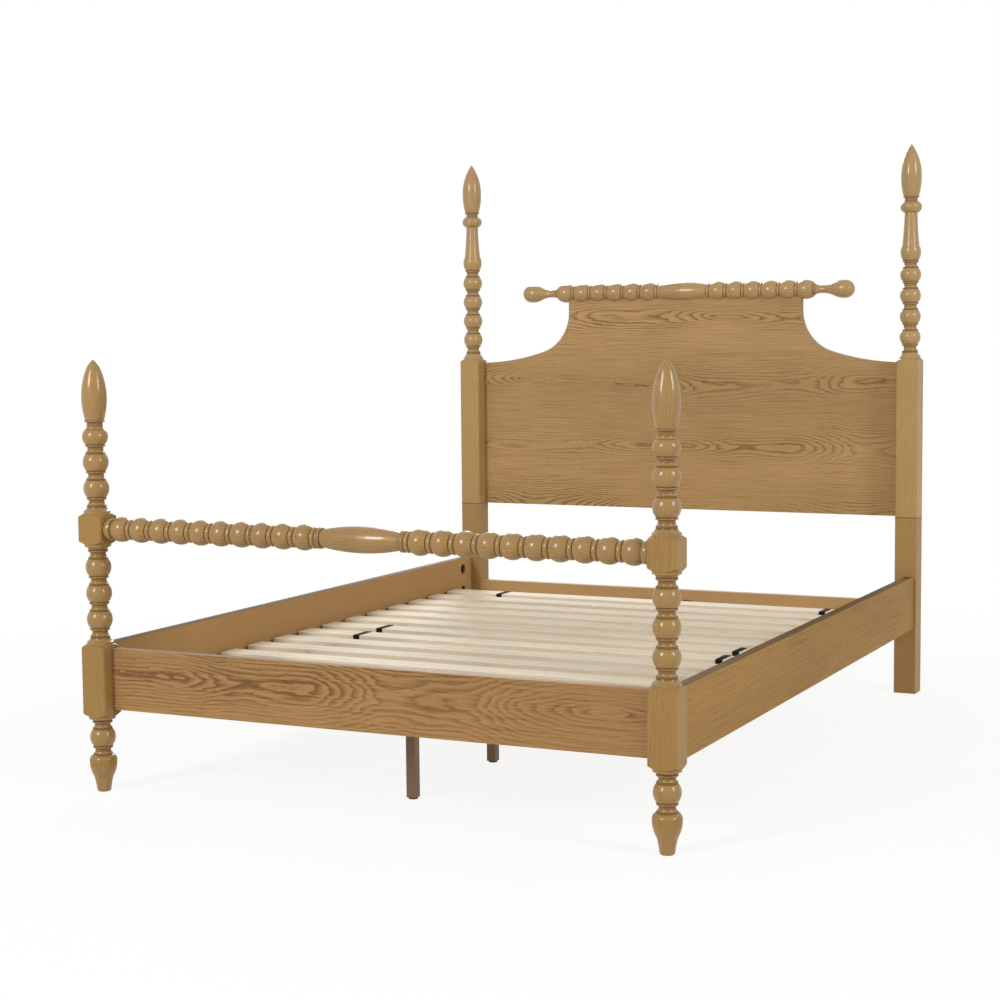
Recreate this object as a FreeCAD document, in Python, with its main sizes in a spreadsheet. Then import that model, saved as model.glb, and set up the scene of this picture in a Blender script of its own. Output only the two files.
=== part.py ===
import FreeCAD, Part
import math
import os
import Sketcher

# Spindle bed for a 1524 x 2032 mm mattress. Millimetres, +Z up, +Y towards the
# headboard, +X to the right for someone who stands at the foot and looks at the
# headboard. The origin is on the floor, in the middle of the bed's outline.

Vector = FreeCAD.Vector
Rotation = FreeCAD.Rotation

# ----------------------------------------------------------------- dimensions

DIMENSIONS = (
    # overall
    ("mattress_width", 1524), ("mattress_gap", 11), ("post_size", 70),
    ("frame_length", 2160), ("post_arris", 2.5),
    # turned beads, shared by all four posts
    ("neck_radius", 20), ("neck_length", 3.5), ("collar_radius", 25), ("collar_length", 11),
    ("collar_band", 2.5), ("bead_radius", 32.5), ("bead_end_radius", 24), ("bead_step", 0.5),
    ("ring_radius", 24), ("ring_bulge", 1.6), ("ring_length", 5), ("cove_depth", 2),
    ("base_radius", 33.5), ("base_length", 6), ("pommel_length", 11),
    # foot posts
    ("foot_bead_pitch", 67), ("foot_finial_length", 152.5), ("foot_finial_belly", 55.5),
    ("foot_finial_radius", 32.1), ("foot_finial_shoulder", 19.3), ("foot_shoulder_rise", 125.5),
    ("first_bead_rise", 46), ("finial_base_rise", 69.5), ("foot_upper_block_height", 78.5),
    ("lower_block_under", 15), ("lower_block_over", 5), ("foot_block_gap", 33.5),
    ("upper_under_gap", 20), ("lower_under_gap", 17), ("under_neck", 1.5),
    ("vase_radius", 34.8), ("vase_drop", 16), ("vase_waist_radius", 24), ("vase_waist_drop", 58),
    ("vase_toe_radius", 17.5), ("vase_toe_height", 3), ("vase_sole_radius", 15),
    # head posts and legs
    ("head_bead_pitch", 65.6), ("head_finial_length", 162), ("head_finial_belly", 65),
    ("head_finial_radius", 32), ("head_finial_neck", 18), ("head_ball_length", 34),
    ("head_ball_bulge", 11), ("head_ball_edge", 22.5), ("head_column_radius", 20),
    ("head_column_length", 108), ("head_column_flare", 27), ("head_cap_length", 50),
    ("head_cap_edge", 2), ("head_block_gap", 38), ("head_seam_height", 564),
    ("head_block_top", 1068.6),
    # foot rail and its spindle
    ("foot_rail_lift", 4), ("foot_rail_drop", 6), ("foot_rail_thickness", 26),
    ("foot_rail_setback", 33), ("tenon_length", 20), ("tenon_thickness", 12),
    ("tenon_shoulder", 16), ("spindle_bead_radius", 31.5), ("spindle_bead_gap", 15.7),
    ("spindle_groove", 2.2), ("spindle_groove_radius", 21), ("spindle_ring_bulge", 1.8),
    ("foot_spindle_end", 20), ("foot_bulb_half", 106), ("foot_bulb_end_radius", 21.5),
    ("foot_bulb_collar", 14),
    ("foot_bulb_radius", 32), ("foot_collar_radius", 26), ("round_tenon_radius", 12),
    ("round_tenon_length", 28),
    # headboard
    ("panel_thickness", 22), ("panel_lap", 12), ("panel_shoulder_drop", 12.6),
    ("panel_top_setback", 325), ("panel_top_rise", 216.5), ("scroll_top_drop", 50.5),
    ("scroll_foot_setback", 232), ("scroll_foot_rise", 38), ("scroll_bulge", 24.5),
    ("shoulder_bulge", 9), ("head_spindle_rise", 19.5), ("head_row_setback", 287.4),
    ("head_spindle_bead", 31), ("head_bead_gap", 11.4), ("head_bulb_half", 86),
    ("head_bulb_radius", 30.5), ("head_bulb_end_radius", 22), ("knob_end_setback", 152),
    ("knob_radius", 28.8), ("knob_end_radius", 2), ("knob_neck_setback", 265),
    ("knob_neck_radius", 12.5), ("cross_rail_lip", 17), ("cross_rail_height", 90),
    ("cross_rail_thickness", 25),
    # side rails and cleats
    ("side_rail_bottom", 210), ("side_rail_height", 167), ("side_rail_thickness", 26),
    ("side_rail_inset", 8), ("side_rail_corner", 12), ("cleat_width", 30), ("cleat_height", 40),
    ("cleat_end_gap", 90),
    # slats, webbing and centre beam
    ("deck_height", 279), ("slat_thickness", 17), ("slat_width", 75),
    ("last_slat_setback", 172.5),
    ("slat_end_gap", 13), ("first_slat_setback", 112), ("strap_half", 562), ("strap_width", 20),
    ("strap_thickness", 1.2), ("strap_gap", 0.3), ("beam_width", 44),
    ("beam_height", 45), ("beam_end_gap", 0.5),
    ("centre_leg_size", 25), ("centre_leg_wall", 2), ("last_leg_setback", 540),
    ("first_leg_setback", 240), ("leg_plate_length", 76), ("leg_plate_thickness", 3),
    ("foot_pad_radius", 12), ("foot_pad_height", 4), ("foot_gap", 0.3), ("foot_stem_spare", 6),
    ("leg_plug_depth", 20), ("plug_flange", 1.5),
    ("bracket_metal", 2.5), ("bracket_seat", 45), ("bracket_wing", 26),
    # bolts, screws, dowels
    ("rail_bolt_radius", 4), ("rail_bolt_drop", 39), ("rail_bolt_rise", 53),
    ("pocket_radius", 17.5), ("pocket_depth", 20), ("pocket_setback", 61),
    ("insert_radius", 6), ("insert_length", 20), ("bolt_end", 3), ("nut_flats", 13),
    ("nut_height", 6.5), ("bolt_play", 0.5), ("fit_play", 0.2), ("washer_width", 13),
    ("washer_height", 5), ("thread_play", 0.08),
    ("dowel_radius", 5), ("dowel_length", 50), ("post_dowel_radius", 6),
    ("post_dowel_length", 70), ("post_dowel_half", 17), ("screw_radius", 2),
    ("screw_head_radius", 4), ("screw_head_height", 3), ("cleat_screw_length", 45),
    ("slat_screw_length", 42), ("beam_screw_length", 18), ("panel_screw_length", 47),
    ("staple_half", 4), ("staple_wire", 1), ("staple_depth", 9),
)

doc = FreeCAD.newDocument("spindle_bed")
sheet = doc.addObject("Spreadsheet::Sheet", "Dimensions")
for row, (alias, number) in enumerate(DIMENSIONS, start=1):
    sheet.set("A%d" % row, alias)
    sheet.set("B%d" % row, str(number))
    sheet.setAlias("B%d" % row, alias)
doc.recompute()


class Size:
    """A number together with the sheet formula that gives it."""

    def __init__(self, number, formula):
        self.number = float(number)
        self.formula = formula

    def __add__(self, other):
        other = size(other)
        return Size(self.number + other.number, "(%s + %s)" % (self.formula, other.formula))

    def __sub__(self, other):
        other = size(other)
        return Size(self.number - other.number, "(%s - %s)" % (self.formula, other.formula))

    def __mul__(self, other):
        other = size(other)
        return Size(self.number * other.number, "%s * %s" % (self.formula, other.formula))

    def __truediv__(self, other):
        other = size(other)
        return Size(self.number / other.number, "%s / (%s)" % (self.formula, other.formula))

    def __neg__(self):
        return Size(-self.number, "(0 - %s)" % self.formula)

    __radd__ = __add__
    __rmul__ = __mul__

    def __rsub__(self, other):
        return size(other) - self


def size(value):
    """A Size as it is, or a plain number as one."""
    if isinstance(value, Size):
        return value
    return Size(value, "(%r)" % float(value))


class Sheet:
    """The sheet's sizes as attributes."""


dim = Sheet()
for alias, number in DIMENSIONS:
    setattr(dim, alias, Size(sheet.get(alias), "Dimensions." + alias))

# ------------------------------------------------------------ document helpers


def bind(thing, prop, value):
    """Gives a property its size and ties it to the sheet."""
    thing.setExpression(prop, size(value).formula)


def new_body(label):
    body = doc.addObject("PartDesign::Body", label)
    body.Label = label
    return body


def new_sketch(body, role, offset=None):
    """A sketch on one of the body's own origin planes, at an offset along its normal."""
    plane = [item for item in body.Origin.OriginFeatures if item.Role == role][0]
    sketch = body.newObject("Sketcher::SketchObject", body.Label + "_sketch")
    sketch.AttachmentSupport = [(plane, "")]
    sketch.MapMode = "FlatFace"
    if offset is not None:
        bind(sketch, "AttachmentOffset.Base.z", offset)
    return sketch


def hold_point(sketch, geometry, end, across, up, rules):
    """Fixes a point of the sketch by its two distances from the origin."""
    for kind, axis, value in (("DistanceX", -2, across), ("DistanceY", -1, up)):
        value = size(value)
        if value.formula == "(0.0)":
            rules.append((Sketcher.Constraint("PointOnObject", geometry, end, axis), None))
        else:
            rule = Sketcher.Constraint(kind, -1, 1, geometry, end, value.number)
            rules.append((rule, value.formula))


def apply_rules(sketch, rules):
    numbers = sketch.addConstraint([rule for rule, formula in rules])
    for number, (rule, formula) in zip(numbers, rules):
        if formula is not None:
            sketch.setExpression("Constraints[%d]" % number, formula)


def outline(sketch, corners):
    """A closed outline. A corner is (across, up) or (across, up, bulge): with a bulge the
    edge to the next corner is an arc that rises by it to the left of its chord."""
    first = sketch.GeometryCount
    rules = []
    count = len(corners)
    for index, corner in enumerate(corners):
        following = corners[(index + 1) % count]
        start = Vector(size(corner[0]).number, size(corner[1]).number, 0)
        finish = Vector(size(following[0]).number, size(following[1]).number, 0)
        if len(corner) == 3:
            bulge = size(corner[2])
            chord = finish - start
            left = Vector(-chord.y, chord.x, 0).normalize()
            middle = (start + finish) * 0.5 + left * bulge.number
            arc = Part.Arc(start, middle, finish)
            sketch.addGeometry(arc, False)
            run = size(following[0]) - size(corner[0])
            rise = size(following[1]) - size(corner[1])
            square = run * run + rise * rise
            depth = bulge if bulge.number > 0 else -bulge
            radius = (square / 4 + depth * depth) / (depth * 2)
            rule = Sketcher.Constraint("Radius", first + index, radius.number)
            rules.append((rule, radius.formula))
        else:
            sketch.addGeometry(Part.LineSegment(start, finish), False)
    for index, corner in enumerate(corners):
        # an arc that was drawn clockwise keeps its ends in counter-clockwise order
        begin = 2 if len(corner) == 3 and size(corner[2]).number > 0 else 1
        before = corners[index - 1]
        last = 1 if len(before) == 3 and size(before[2]).number > 0 else 2
        previous = first + (index - 1) % count
        rule = Sketcher.Constraint("Coincident", previous, last, first + index, begin)
        rules.append((rule, None))
        hold_point(sketch, first + index, begin, corner[0], corner[1], rules)
    apply_rules(sketch, rules)


def rectangle(sketch, left, right, bottom, top):
    outline(sketch, [(left, bottom), (right, bottom), (right, top), (left, top)])


def circles(sketch, radius, centres):
    rules = []
    for across, up in centres:
        number = sketch.GeometryCount
        middle = Vector(size(across).number, size(up).number, 0)
        sketch.addGeometry(Part.Circle(middle, Vector(0, 0, 1), radius.number), False)
        rules.append((Sketcher.Constraint("Radius", number, radius.number), radius.formula))
        hold_point(sketch, number, 3, across, up, rules)
    apply_rules(sketch, rules)


def settle(body, feature):
    body.Tip = feature
    doc.recompute()
    if feature.Shape.isNull() or not feature.Shape.isValid():
        raise RuntimeError("no sound shape in " + feature.Name)
    return feature


def pad(body, sketch, length, reverse=False, middle=False):
    feature = body.newObject("PartDesign::Pad", body.Label + "_pad")
    feature.Profile = sketch
    bind(feature, "Length", length)
    feature.Reversed = reverse
    feature.Midplane = middle
    return settle(body, feature)


def pocket(body, sketch, length, reverse=False, middle=False):
    """Cuts the sketch into the body and makes sure that wood was removed."""
    before = body.Shape.Volume
    feature = body.newObject("PartDesign::Pocket", body.Label + "_pocket")
    feature.Profile = sketch
    bind(feature, "Length", length)
    feature.Reversed = reverse
    feature.Midplane = middle
    settle(body, feature)
    if feature.Shape.Volume > before - 1:
        raise RuntimeError("nothing was cut by " + feature.Name)
    return feature


def revolve(body, sketch, axis):
    feature = body.newObject("PartDesign::Revolution", body.Label + "_turning")
    feature.Profile = sketch
    feature.ReferenceAxis = (sketch, [axis])
    feature.Angle = 360
    return settle(body, feature)


def groove(body, sketch, axis):
    before = body.Shape.Volume
    feature = body.newObject("PartDesign::Groove", body.Label + "_groove")
    feature.Profile = sketch
    feature.ReferenceAxis = (sketch, [axis])
    feature.Angle = 360
    settle(body, feature)
    if feature.Shape.Volume > before - 1:
        raise RuntimeError("nothing was turned off by " + feature.Name)
    return feature


def edges_where(shape, test):
    """Names of the straight edges whose two ends pass the test."""
    names = []
    for number, edge in enumerate(shape.Edges, start=1):
        if len(edge.Vertexes) == 2 and isinstance(edge.Curve, Part.Line):
            if test(edge.Vertexes[0].Point, edge.Vertexes[1].Point):
                names.append("Edge%d" % number)
    return names


def chamfer(body, base, names, length):
    feature = body.newObject("PartDesign::Chamfer", body.Label + "_chamfer")
    feature.Base = (base, names)
    bind(feature, "Size", length)
    return settle(body, feature)


def fillet(body, base, names, radius):
    feature = body.newObject("PartDesign::Fillet", body.Label + "_fillet")
    feature.Base = (base, names)
    bind(feature, "Radius", radius)
    return settle(body, feature)


# ------------------------------------------------------------ derived positions

half_post = dim.post_size / 2
rail_inner = dim.mattress_width / 2 + dim.mattress_gap
rail_outer = rail_inner + dim.side_rail_thickness
post_x = rail_outer + dim.side_rail_inset - half_post
post_inner = post_x - half_post
head_overhang = half_post - dim.panel_thickness / 2 + dim.head_spindle_bead
foot_y = -(half_post + dim.frame_length + head_overhang) / 2 + half_post
head_y = foot_y + dim.frame_length
foot_back = foot_y + half_post
head_front = head_y - half_post
side_rail_length = head_front - foot_back
side_rail_top = dim.side_rail_bottom + dim.side_rail_height
foot_rail_front = foot_y - half_post + dim.foot_rail_setback
foot_rail_back = foot_rail_front + dim.foot_rail_thickness
foot_rail_middle = foot_rail_front + dim.foot_rail_thickness / 2
foot_rail_bottom = dim.side_rail_bottom + dim.foot_rail_lift
foot_rail_top = side_rail_top - dim.foot_rail_drop
rail_bolt_upper = side_rail_top - dim.rail_bolt_drop
rail_bolt_lower = dim.side_rail_bottom + dim.rail_bolt_rise
lower_block_bottom = dim.side_rail_bottom - dim.lower_block_under
lower_block_top = side_rail_top + dim.lower_block_over
upper_block_bottom = (lower_block_top + dim.foot_block_gap + dim.foot_bead_pitch * 3
                      + dim.under_neck + dim.upper_under_gap)
upper_block_top = upper_block_bottom + dim.foot_upper_block_height
foot_spindle_z = upper_block_bottom + dim.foot_upper_block_height / 2
panel_front = head_y + half_post - dim.panel_thickness
panel_middle = panel_front + dim.panel_thickness / 2
panel_half = post_inner + dim.panel_lap
panel_shoulder = dim.head_block_top - dim.panel_shoulder_drop
panel_top = panel_shoulder + dim.panel_top_rise
panel_top_half = post_inner - dim.panel_top_setback
scroll_foot_half = post_inner - dim.scroll_foot_setback
head_spindle_z = panel_top + dim.head_spindle_rise
cross_rail_top = dim.deck_height + dim.cross_rail_lip
cross_rail_bottom = cross_rail_top - dim.cross_rail_height
cross_rail_middle = head_front + dim.cross_rail_thickness / 2
slat_bottom = dim.deck_height - dim.slat_thickness
slat_half = rail_inner - dim.slat_end_gap
cleat_bottom = slat_bottom - dim.cleat_height
cleat_inner = rail_inner - dim.cleat_width
cleat_middle = cleat_bottom + dim.cleat_height / 2
beam_bottom = slat_bottom - dim.beam_height
beam_start = foot_rail_back + dim.bracket_metal + dim.beam_end_gap
beam_end = head_front - dim.bracket_metal - dim.beam_end_gap
rail_middle_x = rail_inner + dim.side_rail_thickness / 2
loose = dim.fit_play

SLATS_PER_ROLL = 7
ROLLS = 2
CENTRE_LEGS = 4
CLEAT_SCREWS = 8
FOOT_BEADS = 10
HEAD_BEADS = 6

foot_row_start = dim.foot_bulb_half + dim.foot_bulb_collar
foot_spindle_pitch = (post_inner - dim.foot_spindle_end - foot_row_start) / FOOT_BEADS
head_spindle_pitch = (post_inner - dim.head_row_setback - dim.head_bulb_half) / HEAD_BEADS

slat_run = (dim.frame_length - dim.first_slat_setback - dim.slat_width
            - dim.last_slat_setback)
slat_starts = []
for number in range(ROLLS * SLATS_PER_ROLL):
    share = number / (ROLLS * SLATS_PER_ROLL - 1)
    slat_starts.append(foot_y + dim.first_slat_setback + slat_run * share)

leg_run = dim.frame_length - dim.first_leg_setback - dim.last_leg_setback
leg_places = []
for number in range(CENTRE_LEGS):
    share = number / (CENTRE_LEGS - 1)
    leg_places.append(foot_y + dim.first_leg_setback + leg_run * share)

cleat_start = foot_back + dim.cleat_end_gap
cleat_length = side_rail_length - dim.cleat_end_gap * 2
cleat_screw_places = []
for number in range(CLEAT_SCREWS):
    share = (number + 0.5) / CLEAT_SCREWS
    cleat_screw_places.append(cleat_start + cleat_length * share)

# ------------------------------------------------------------- turned profiles


def bead_end(top, pitch):
    """The height at which the bead under the neck at this height stops."""
    return top - pitch + dim.neck_length / 2 + dim.ring_length + dim.bead_step


def bead_bulge():
    return dim.bead_radius - dim.bead_end_radius


def ring_and_neck(level):
    """The thin ring under a bead and the start of the neck, from the ring's top down."""
    under = level - dim.ring_length
    return [(dim.ring_radius, level, dim.ring_bulge), (dim.ring_radius, under),
            (dim.neck_radius, under)]


def collar(top):
    """From a neck's middle down: a cove that flares to a flat collar."""
    cove_start = top - dim.neck_length / 2
    cove_end = cove_start - dim.collar_length
    band_end = cove_end - dim.collar_band
    return [(dim.neck_radius, cove_start, -dim.cove_depth), (dim.collar_radius, cove_end),
            (dim.collar_radius, band_end)]


def bead_unit(top, pitch):
    """Collar, bead and thin ring between one neck and the next."""
    start = top - dim.neck_length / 2 - dim.collar_length - dim.collar_band
    finish = bead_end(top, pitch)
    corners = collar(top)
    corners += [(dim.bead_end_radius, start, bead_bulge()), (dim.bead_end_radius, finish)]
    return corners + ring_and_neck(finish - dim.bead_step)


def base_above(block_top, gap):
    """From the last neck down to the square block: collar, cove and a plain drum."""
    top = block_top + gap
    start = top - dim.neck_length / 2 - dim.collar_length - dim.collar_band
    drum = block_top + dim.base_length
    corners = collar(top)
    corners += [(dim.bead_end_radius, start, -dim.cove_depth), (dim.base_radius, drum),
                (dim.base_radius, block_top)]
    return corners


def base_under(block_bottom, gap):
    """From the square block down to the first neck: a drum, a cove and a ring."""
    drum = block_bottom - dim.base_length
    neck = block_bottom - gap
    ring = neck + dim.ring_length
    return [(dim.base_radius, block_bottom), (dim.base_radius, drum, -dim.cove_depth),
            (dim.ring_radius, ring + dim.bead_step)] + ring_and_neck(ring)


def turn_post(body, corners):
    """Turns a profile about the post's axis. It runs down the right of the axis, from the
    top to the foot, so a bulge swells outwards and a negative one is hollow."""
    top = corners[0]
    last = corners[-1]
    closed = corners + [(0, last[1])]
    if size(top[0]).formula != "(0.0)":
        closed = [(0, top[1])] + closed
    sketch = new_sketch(body, "XZ_Plane")
    outline(sketch, closed)
    return revolve(body, sketch, "V_Axis")


def square_block(body, bottom, height):
    sketch = new_sketch(body, "XY_Plane", bottom)
    rectangle(sketch, -half_post, half_post, -half_post, half_post)
    block = pad(body, sketch, height)
    level = (bottom + height / 2).number

    def upright(one, other):
        return abs(one.x - other.x) < 0.01 and abs(one.y - other.y) < 0.01 and (
            (one.z - level) * (other.z - level) < 0) and abs(abs(one.x) - half_post.number) < 0.01 and (
            abs(abs(one.y) - half_post.number) < 0.01)

    return chamfer(body, block, edges_where(block.Shape, upright), dim.post_arris)


def pommel(body, levels):
    """Turns the corners of a square block away at its ends; each level is (height, sign),
    where the sign is +1 if the wood lies under it."""
    sketch = new_sketch(body, "XZ_Plane")
    reach = dim.post_size * 0.75
    for height, sign in levels:
        lower = height - dim.pommel_length * sign
        beyond = height + size(0.2) * sign
        corners = [(dim.base_radius + 0.7, height), (reach, lower), (reach, beyond),
                   (dim.base_radius + 0.7, beyond)]
        outline(sketch, corners)
    return groove(body, sketch, "V_Axis")


# ------------------------------------------------------------------ foot posts


def insert_bores(body, side, face_y, towards_head):
    """Bores for the rail bolts' inserts, from the face that the side rail meets."""
    across = (rail_middle_x - post_x) * side
    sketch = new_sketch(body, "XZ_Plane", -face_y)
    circles(sketch, dim.insert_radius + loose,
            [(across, rail_bolt_upper), (across, rail_bolt_lower)])
    pocket(body, sketch, dim.insert_length + 2, reverse=not towards_head)


def make_foot_post(label, side):
    body = new_body(label)
    # finial, first bead, two full beads and the base above the upper block
    last_neck = upper_block_top + dim.foot_block_gap
    neck_three = last_neck + dim.foot_bead_pitch
    neck_two = neck_three + dim.foot_bead_pitch
    finial_base = neck_two + dim.finial_base_rise
    first_bead_top = neck_two + dim.first_bead_rise
    first_neck = finial_base - dim.bead_step - dim.ring_length
    bead_stop = neck_two + dim.neck_length / 2 + dim.ring_length + dim.bead_step
    corners = [(0, finial_base + dim.foot_finial_length, 2.6),
               (dim.foot_finial_shoulder, finial_base + dim.foot_shoulder_rise, 3.2),
               (dim.foot_finial_radius, finial_base + dim.foot_finial_belly, 1.8),
               (dim.bead_end_radius, finial_base)]
    corners += ring_and_neck(finial_base - dim.bead_step)
    corners += [(dim.neck_radius, first_neck - dim.collar_length, -0.6),
                (dim.bead_end_radius - 0.5, first_bead_top),
                (dim.bead_end_radius, first_bead_top, bead_bulge()),
                (dim.bead_end_radius, bead_stop)]
    corners += ring_and_neck(bead_stop - dim.bead_step)
    corners += bead_unit(neck_two, dim.foot_bead_pitch)
    corners += bead_unit(neck_three, dim.foot_bead_pitch)
    corners += base_above(upper_block_top, dim.foot_block_gap)
    turn_post(body, corners)
    square_block(body, upper_block_bottom, dim.foot_upper_block_height)

    # three beads between the blocks
    corners = base_under(upper_block_bottom, dim.upper_under_gap)
    for count in (3, 2, 1):
        top = lower_block_top + dim.foot_block_gap + dim.foot_bead_pitch * count
        corners += bead_unit(top, dim.foot_bead_pitch)
    corners += base_above(lower_block_top, dim.foot_block_gap)
    turn_post(body, corners)
    square_block(body, lower_block_bottom, lower_block_top - lower_block_bottom)

    # one bead and the vase foot under the lower block
    neck = lower_block_bottom - dim.lower_under_gap
    vase_neck = neck - dim.foot_bead_pitch
    vase_top = vase_neck - dim.neck_length / 2 - dim.collar_length - dim.collar_band
    corners = base_under(lower_block_bottom, dim.lower_under_gap)
    corners += bead_unit(neck, dim.foot_bead_pitch)
    corners += collar(vase_neck)
    corners += [(dim.bead_end_radius, vase_top, 3.5),
                (dim.vase_radius, vase_top - dim.vase_drop, 3),
                (dim.vase_waist_radius, vase_top - dim.vase_waist_drop, -0.5),
                (dim.vase_toe_radius, dim.vase_toe_height),
                (dim.vase_sole_radius, 0)]
    turn_post(body, corners)

    pommel(body, [(upper_block_top, 1), (upper_block_bottom, -1), (lower_block_top, 1),
                  (lower_block_bottom, -1)])

    # mortise for the foot rail and bore for the spindle's round tenon, in the inner face
    inward = -side
    sketch = new_sketch(body, "YZ_Plane", half_post * inward)
    tenon_half = dim.tenon_thickness / 2 + loose
    middle = foot_rail_middle - foot_y
    rectangle(sketch, middle - tenon_half, middle + tenon_half,
              foot_rail_bottom + dim.tenon_shoulder - loose,
              foot_rail_top - dim.tenon_shoulder + loose)
    pocket(body, sketch, dim.tenon_length + 1, reverse=inward < 0)
    sketch = new_sketch(body, "YZ_Plane", half_post * inward)
    circles(sketch, dim.round_tenon_radius + loose, [(0, foot_spindle_z)])
    pocket(body, sketch, dim.round_tenon_length + 1, reverse=inward < 0)

    insert_bores(body, side, half_post, False)

    bind(body, "Placement.Base.x", post_x * side)
    bind(body, "Placement.Base.y", foot_y)
    return body


make_foot_post("foot_post_left", -1)
make_foot_post("foot_post_right", 1)

# ------------------------------------------------------- head posts and legs


def make_head_post(label, side):
    body = new_body(label)
    neck = dim.head_block_top + dim.head_block_gap + dim.head_bead_pitch * 4
    stop = neck + dim.neck_length / 2 + dim.ring_length + dim.bead_step
    cap_top = neck + dim.head_cap_length
    ball_bottom = cap_top + dim.head_column_length
    ball_top = ball_bottom + dim.head_ball_length
    finial_base = ball_top + dim.head_finial_neck
    corners = [(0, finial_base + dim.head_finial_length, 8),
               (dim.head_finial_radius, finial_base + dim.head_finial_belly, 2.5),
               (dim.bead_end_radius, finial_base)]
    corners += ring_and_neck(finial_base - dim.bead_step)
    corners += [(dim.neck_radius, ball_top),
                (dim.head_ball_edge, ball_top, dim.head_ball_bulge),
                (dim.head_ball_edge, ball_bottom),
                (dim.head_column_radius, ball_bottom, -1.2),
                (dim.head_column_flare, cap_top),
                (dim.head_column_flare + dim.head_cap_edge, cap_top, 5),
                (dim.bead_end_radius, stop)]
    corners += ring_and_neck(stop - dim.bead_step)
    for count in range(4):
        corners += bead_unit(neck - dim.head_bead_pitch * count, dim.head_bead_pitch)
    corners += base_above(dim.head_block_top, dim.head_block_gap)
    turn_post(body, corners)
    square_block(body, dim.head_seam_height, dim.head_block_top - dim.head_seam_height)
    pommel(body, [(dim.head_block_top, 1)])

    # rebate in the back inner corner for the panel
    sketch = new_sketch(body, "XY_Plane", dim.head_seam_height)
    inner = -half_post * side
    lap = -(half_post - dim.panel_lap) * side
    left, right = (inner, lap) if side > 0 else (lap, inner)
    rectangle(sketch, left - (1 if side > 0 else 0), right + (0 if side > 0 else 1),
              half_post - dim.panel_thickness, half_post + 1)
    rebate = panel_shoulder + loose * 2 - dim.head_seam_height
    pocket(body, sketch, rebate, reverse=True)

    # bores for the panel's screws and, in the bottom face, for the leg's dowels
    sketch = new_sketch(body, "XZ_Plane", -(half_post - dim.panel_thickness))
    lap_middle = (dim.panel_lap / 2 - half_post) * side
    circles(sketch, dim.screw_radius + loose, [(lap_middle, level) for level in panel_screw_levels])
    pocket(body, sketch, dim.panel_screw_length - dim.panel_thickness + dim.screw_head_height + 1,
           reverse=True)
    sketch = new_sketch(body, "XY_Plane", dim.head_seam_height)
    circles(sketch, dim.post_dowel_radius + loose,
            [(0, -dim.post_dowel_half), (0, dim.post_dowel_half - 8)])
    pocket(body, sketch, dim.post_dowel_length / 2 + 1, reverse=True)
    bind(body, "Placement.Base.x", post_x * side)
    bind(body, "Placement.Base.y", head_y)
    return body


def make_head_leg(label, side):
    body = new_body(label)
    square_block(body, size(0), dim.head_seam_height)
    sketch = new_sketch(body, "XY_Plane", dim.head_seam_height)
    circles(sketch, dim.post_dowel_radius + loose,
            [(0, -dim.post_dowel_half), (0, dim.post_dowel_half - 8)])
    pocket(body, sketch, dim.post_dowel_length / 2 + 1)
    insert_bores(body, side, -half_post, True)
    # dowels of the cross rail, in the inner face
    sketch = new_sketch(body, "YZ_Plane", -half_post * side)
    centres = [(cross_rail_middle - head_y, level) for level in cross_dowel_levels]
    circles(sketch, dim.dowel_radius + loose, centres)
    pocket(body, sketch, dim.dowel_length / 2 + 1, reverse=side > 0)
    bind(body, "Placement.Base.x", post_x * side)
    bind(body, "Placement.Base.y", head_y)
    return body


panel_screw_levels = []
for share in (0.12, 0.5, 0.88):
    rise = (panel_shoulder - dim.head_seam_height) * share
    panel_screw_levels.append(dim.head_seam_height + rise)
cross_dowel_levels = [cross_rail_bottom + dim.cross_rail_height * share for share in (0.25, 0.75)]

make_head_post("head_post_left", -1)
make_head_post("head_post_right", 1)
make_head_leg("head_leg_left", -1)
make_head_leg("head_leg_right", 1)

# --------------------------------------------------------------- headboard


def make_panel():
    body = new_body("headboard_panel")
    sketch = new_sketch(body, "XZ_Plane", -panel_front)
    low = dim.head_seam_height
    # the outline runs anticlockwise, so its hollow curves rise to the left of their chords
    scroll_foot = panel_shoulder + dim.scroll_foot_rise
    scroll_top = panel_top - dim.scroll_top_drop
    corners = [(-panel_half, low), (panel_half, low), (panel_half, panel_shoulder),
               (post_inner, panel_shoulder, dim.shoulder_bulge),
               (scroll_foot_half, scroll_foot, dim.scroll_bulge),
               (panel_top_half, scroll_top), (panel_top_half, panel_top),
               (-panel_top_half, panel_top), (-panel_top_half, scroll_top, dim.scroll_bulge),
               (-scroll_foot_half, scroll_foot, dim.shoulder_bulge),
               (-post_inner, panel_shoulder), (-panel_half, panel_shoulder)]
    outline(sketch, corners)
    pad(body, sketch, dim.panel_thickness, reverse=True)
    # screw bores through the lap, with room for the heads at the back
    lap_middle = post_inner + dim.panel_lap / 2
    places = []
    for side in (-1, 1):
        for level in panel_screw_levels:
            places.append((lap_middle * side, level))
    sketch = new_sketch(body, "XZ_Plane", -panel_front)
    circles(sketch, dim.screw_radius + loose, places)
    pocket(body, sketch, dim.panel_thickness + 1)
    sketch = new_sketch(body, "XZ_Plane", -(panel_front + dim.panel_thickness))
    circles(sketch, dim.screw_head_radius + loose, places)
    pocket(body, sketch, dim.screw_head_height + loose, reverse=True)
    # dowels that hold the spindle on the top edge
    sketch = new_sketch(body, "XY_Plane", panel_top)
    circles(sketch, dim.dowel_radius + loose, [(x, panel_middle) for x in spindle_dowel_places])
    pocket(body, sketch, dim.dowel_length / 2 + 1)
    return body


def turn_bar(body, corners):
    """Turns a profile about X. It runs from left to right above the axis, so a bulge swells
    outwards and a negative one is hollow."""
    sketch = new_sketch(body, "XZ_Plane")
    outline(sketch, [(corners[0][0], 0)] + corners + [(corners[-1][0], 0)])
    return revolve(body, sketch, "H_Axis")


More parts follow.
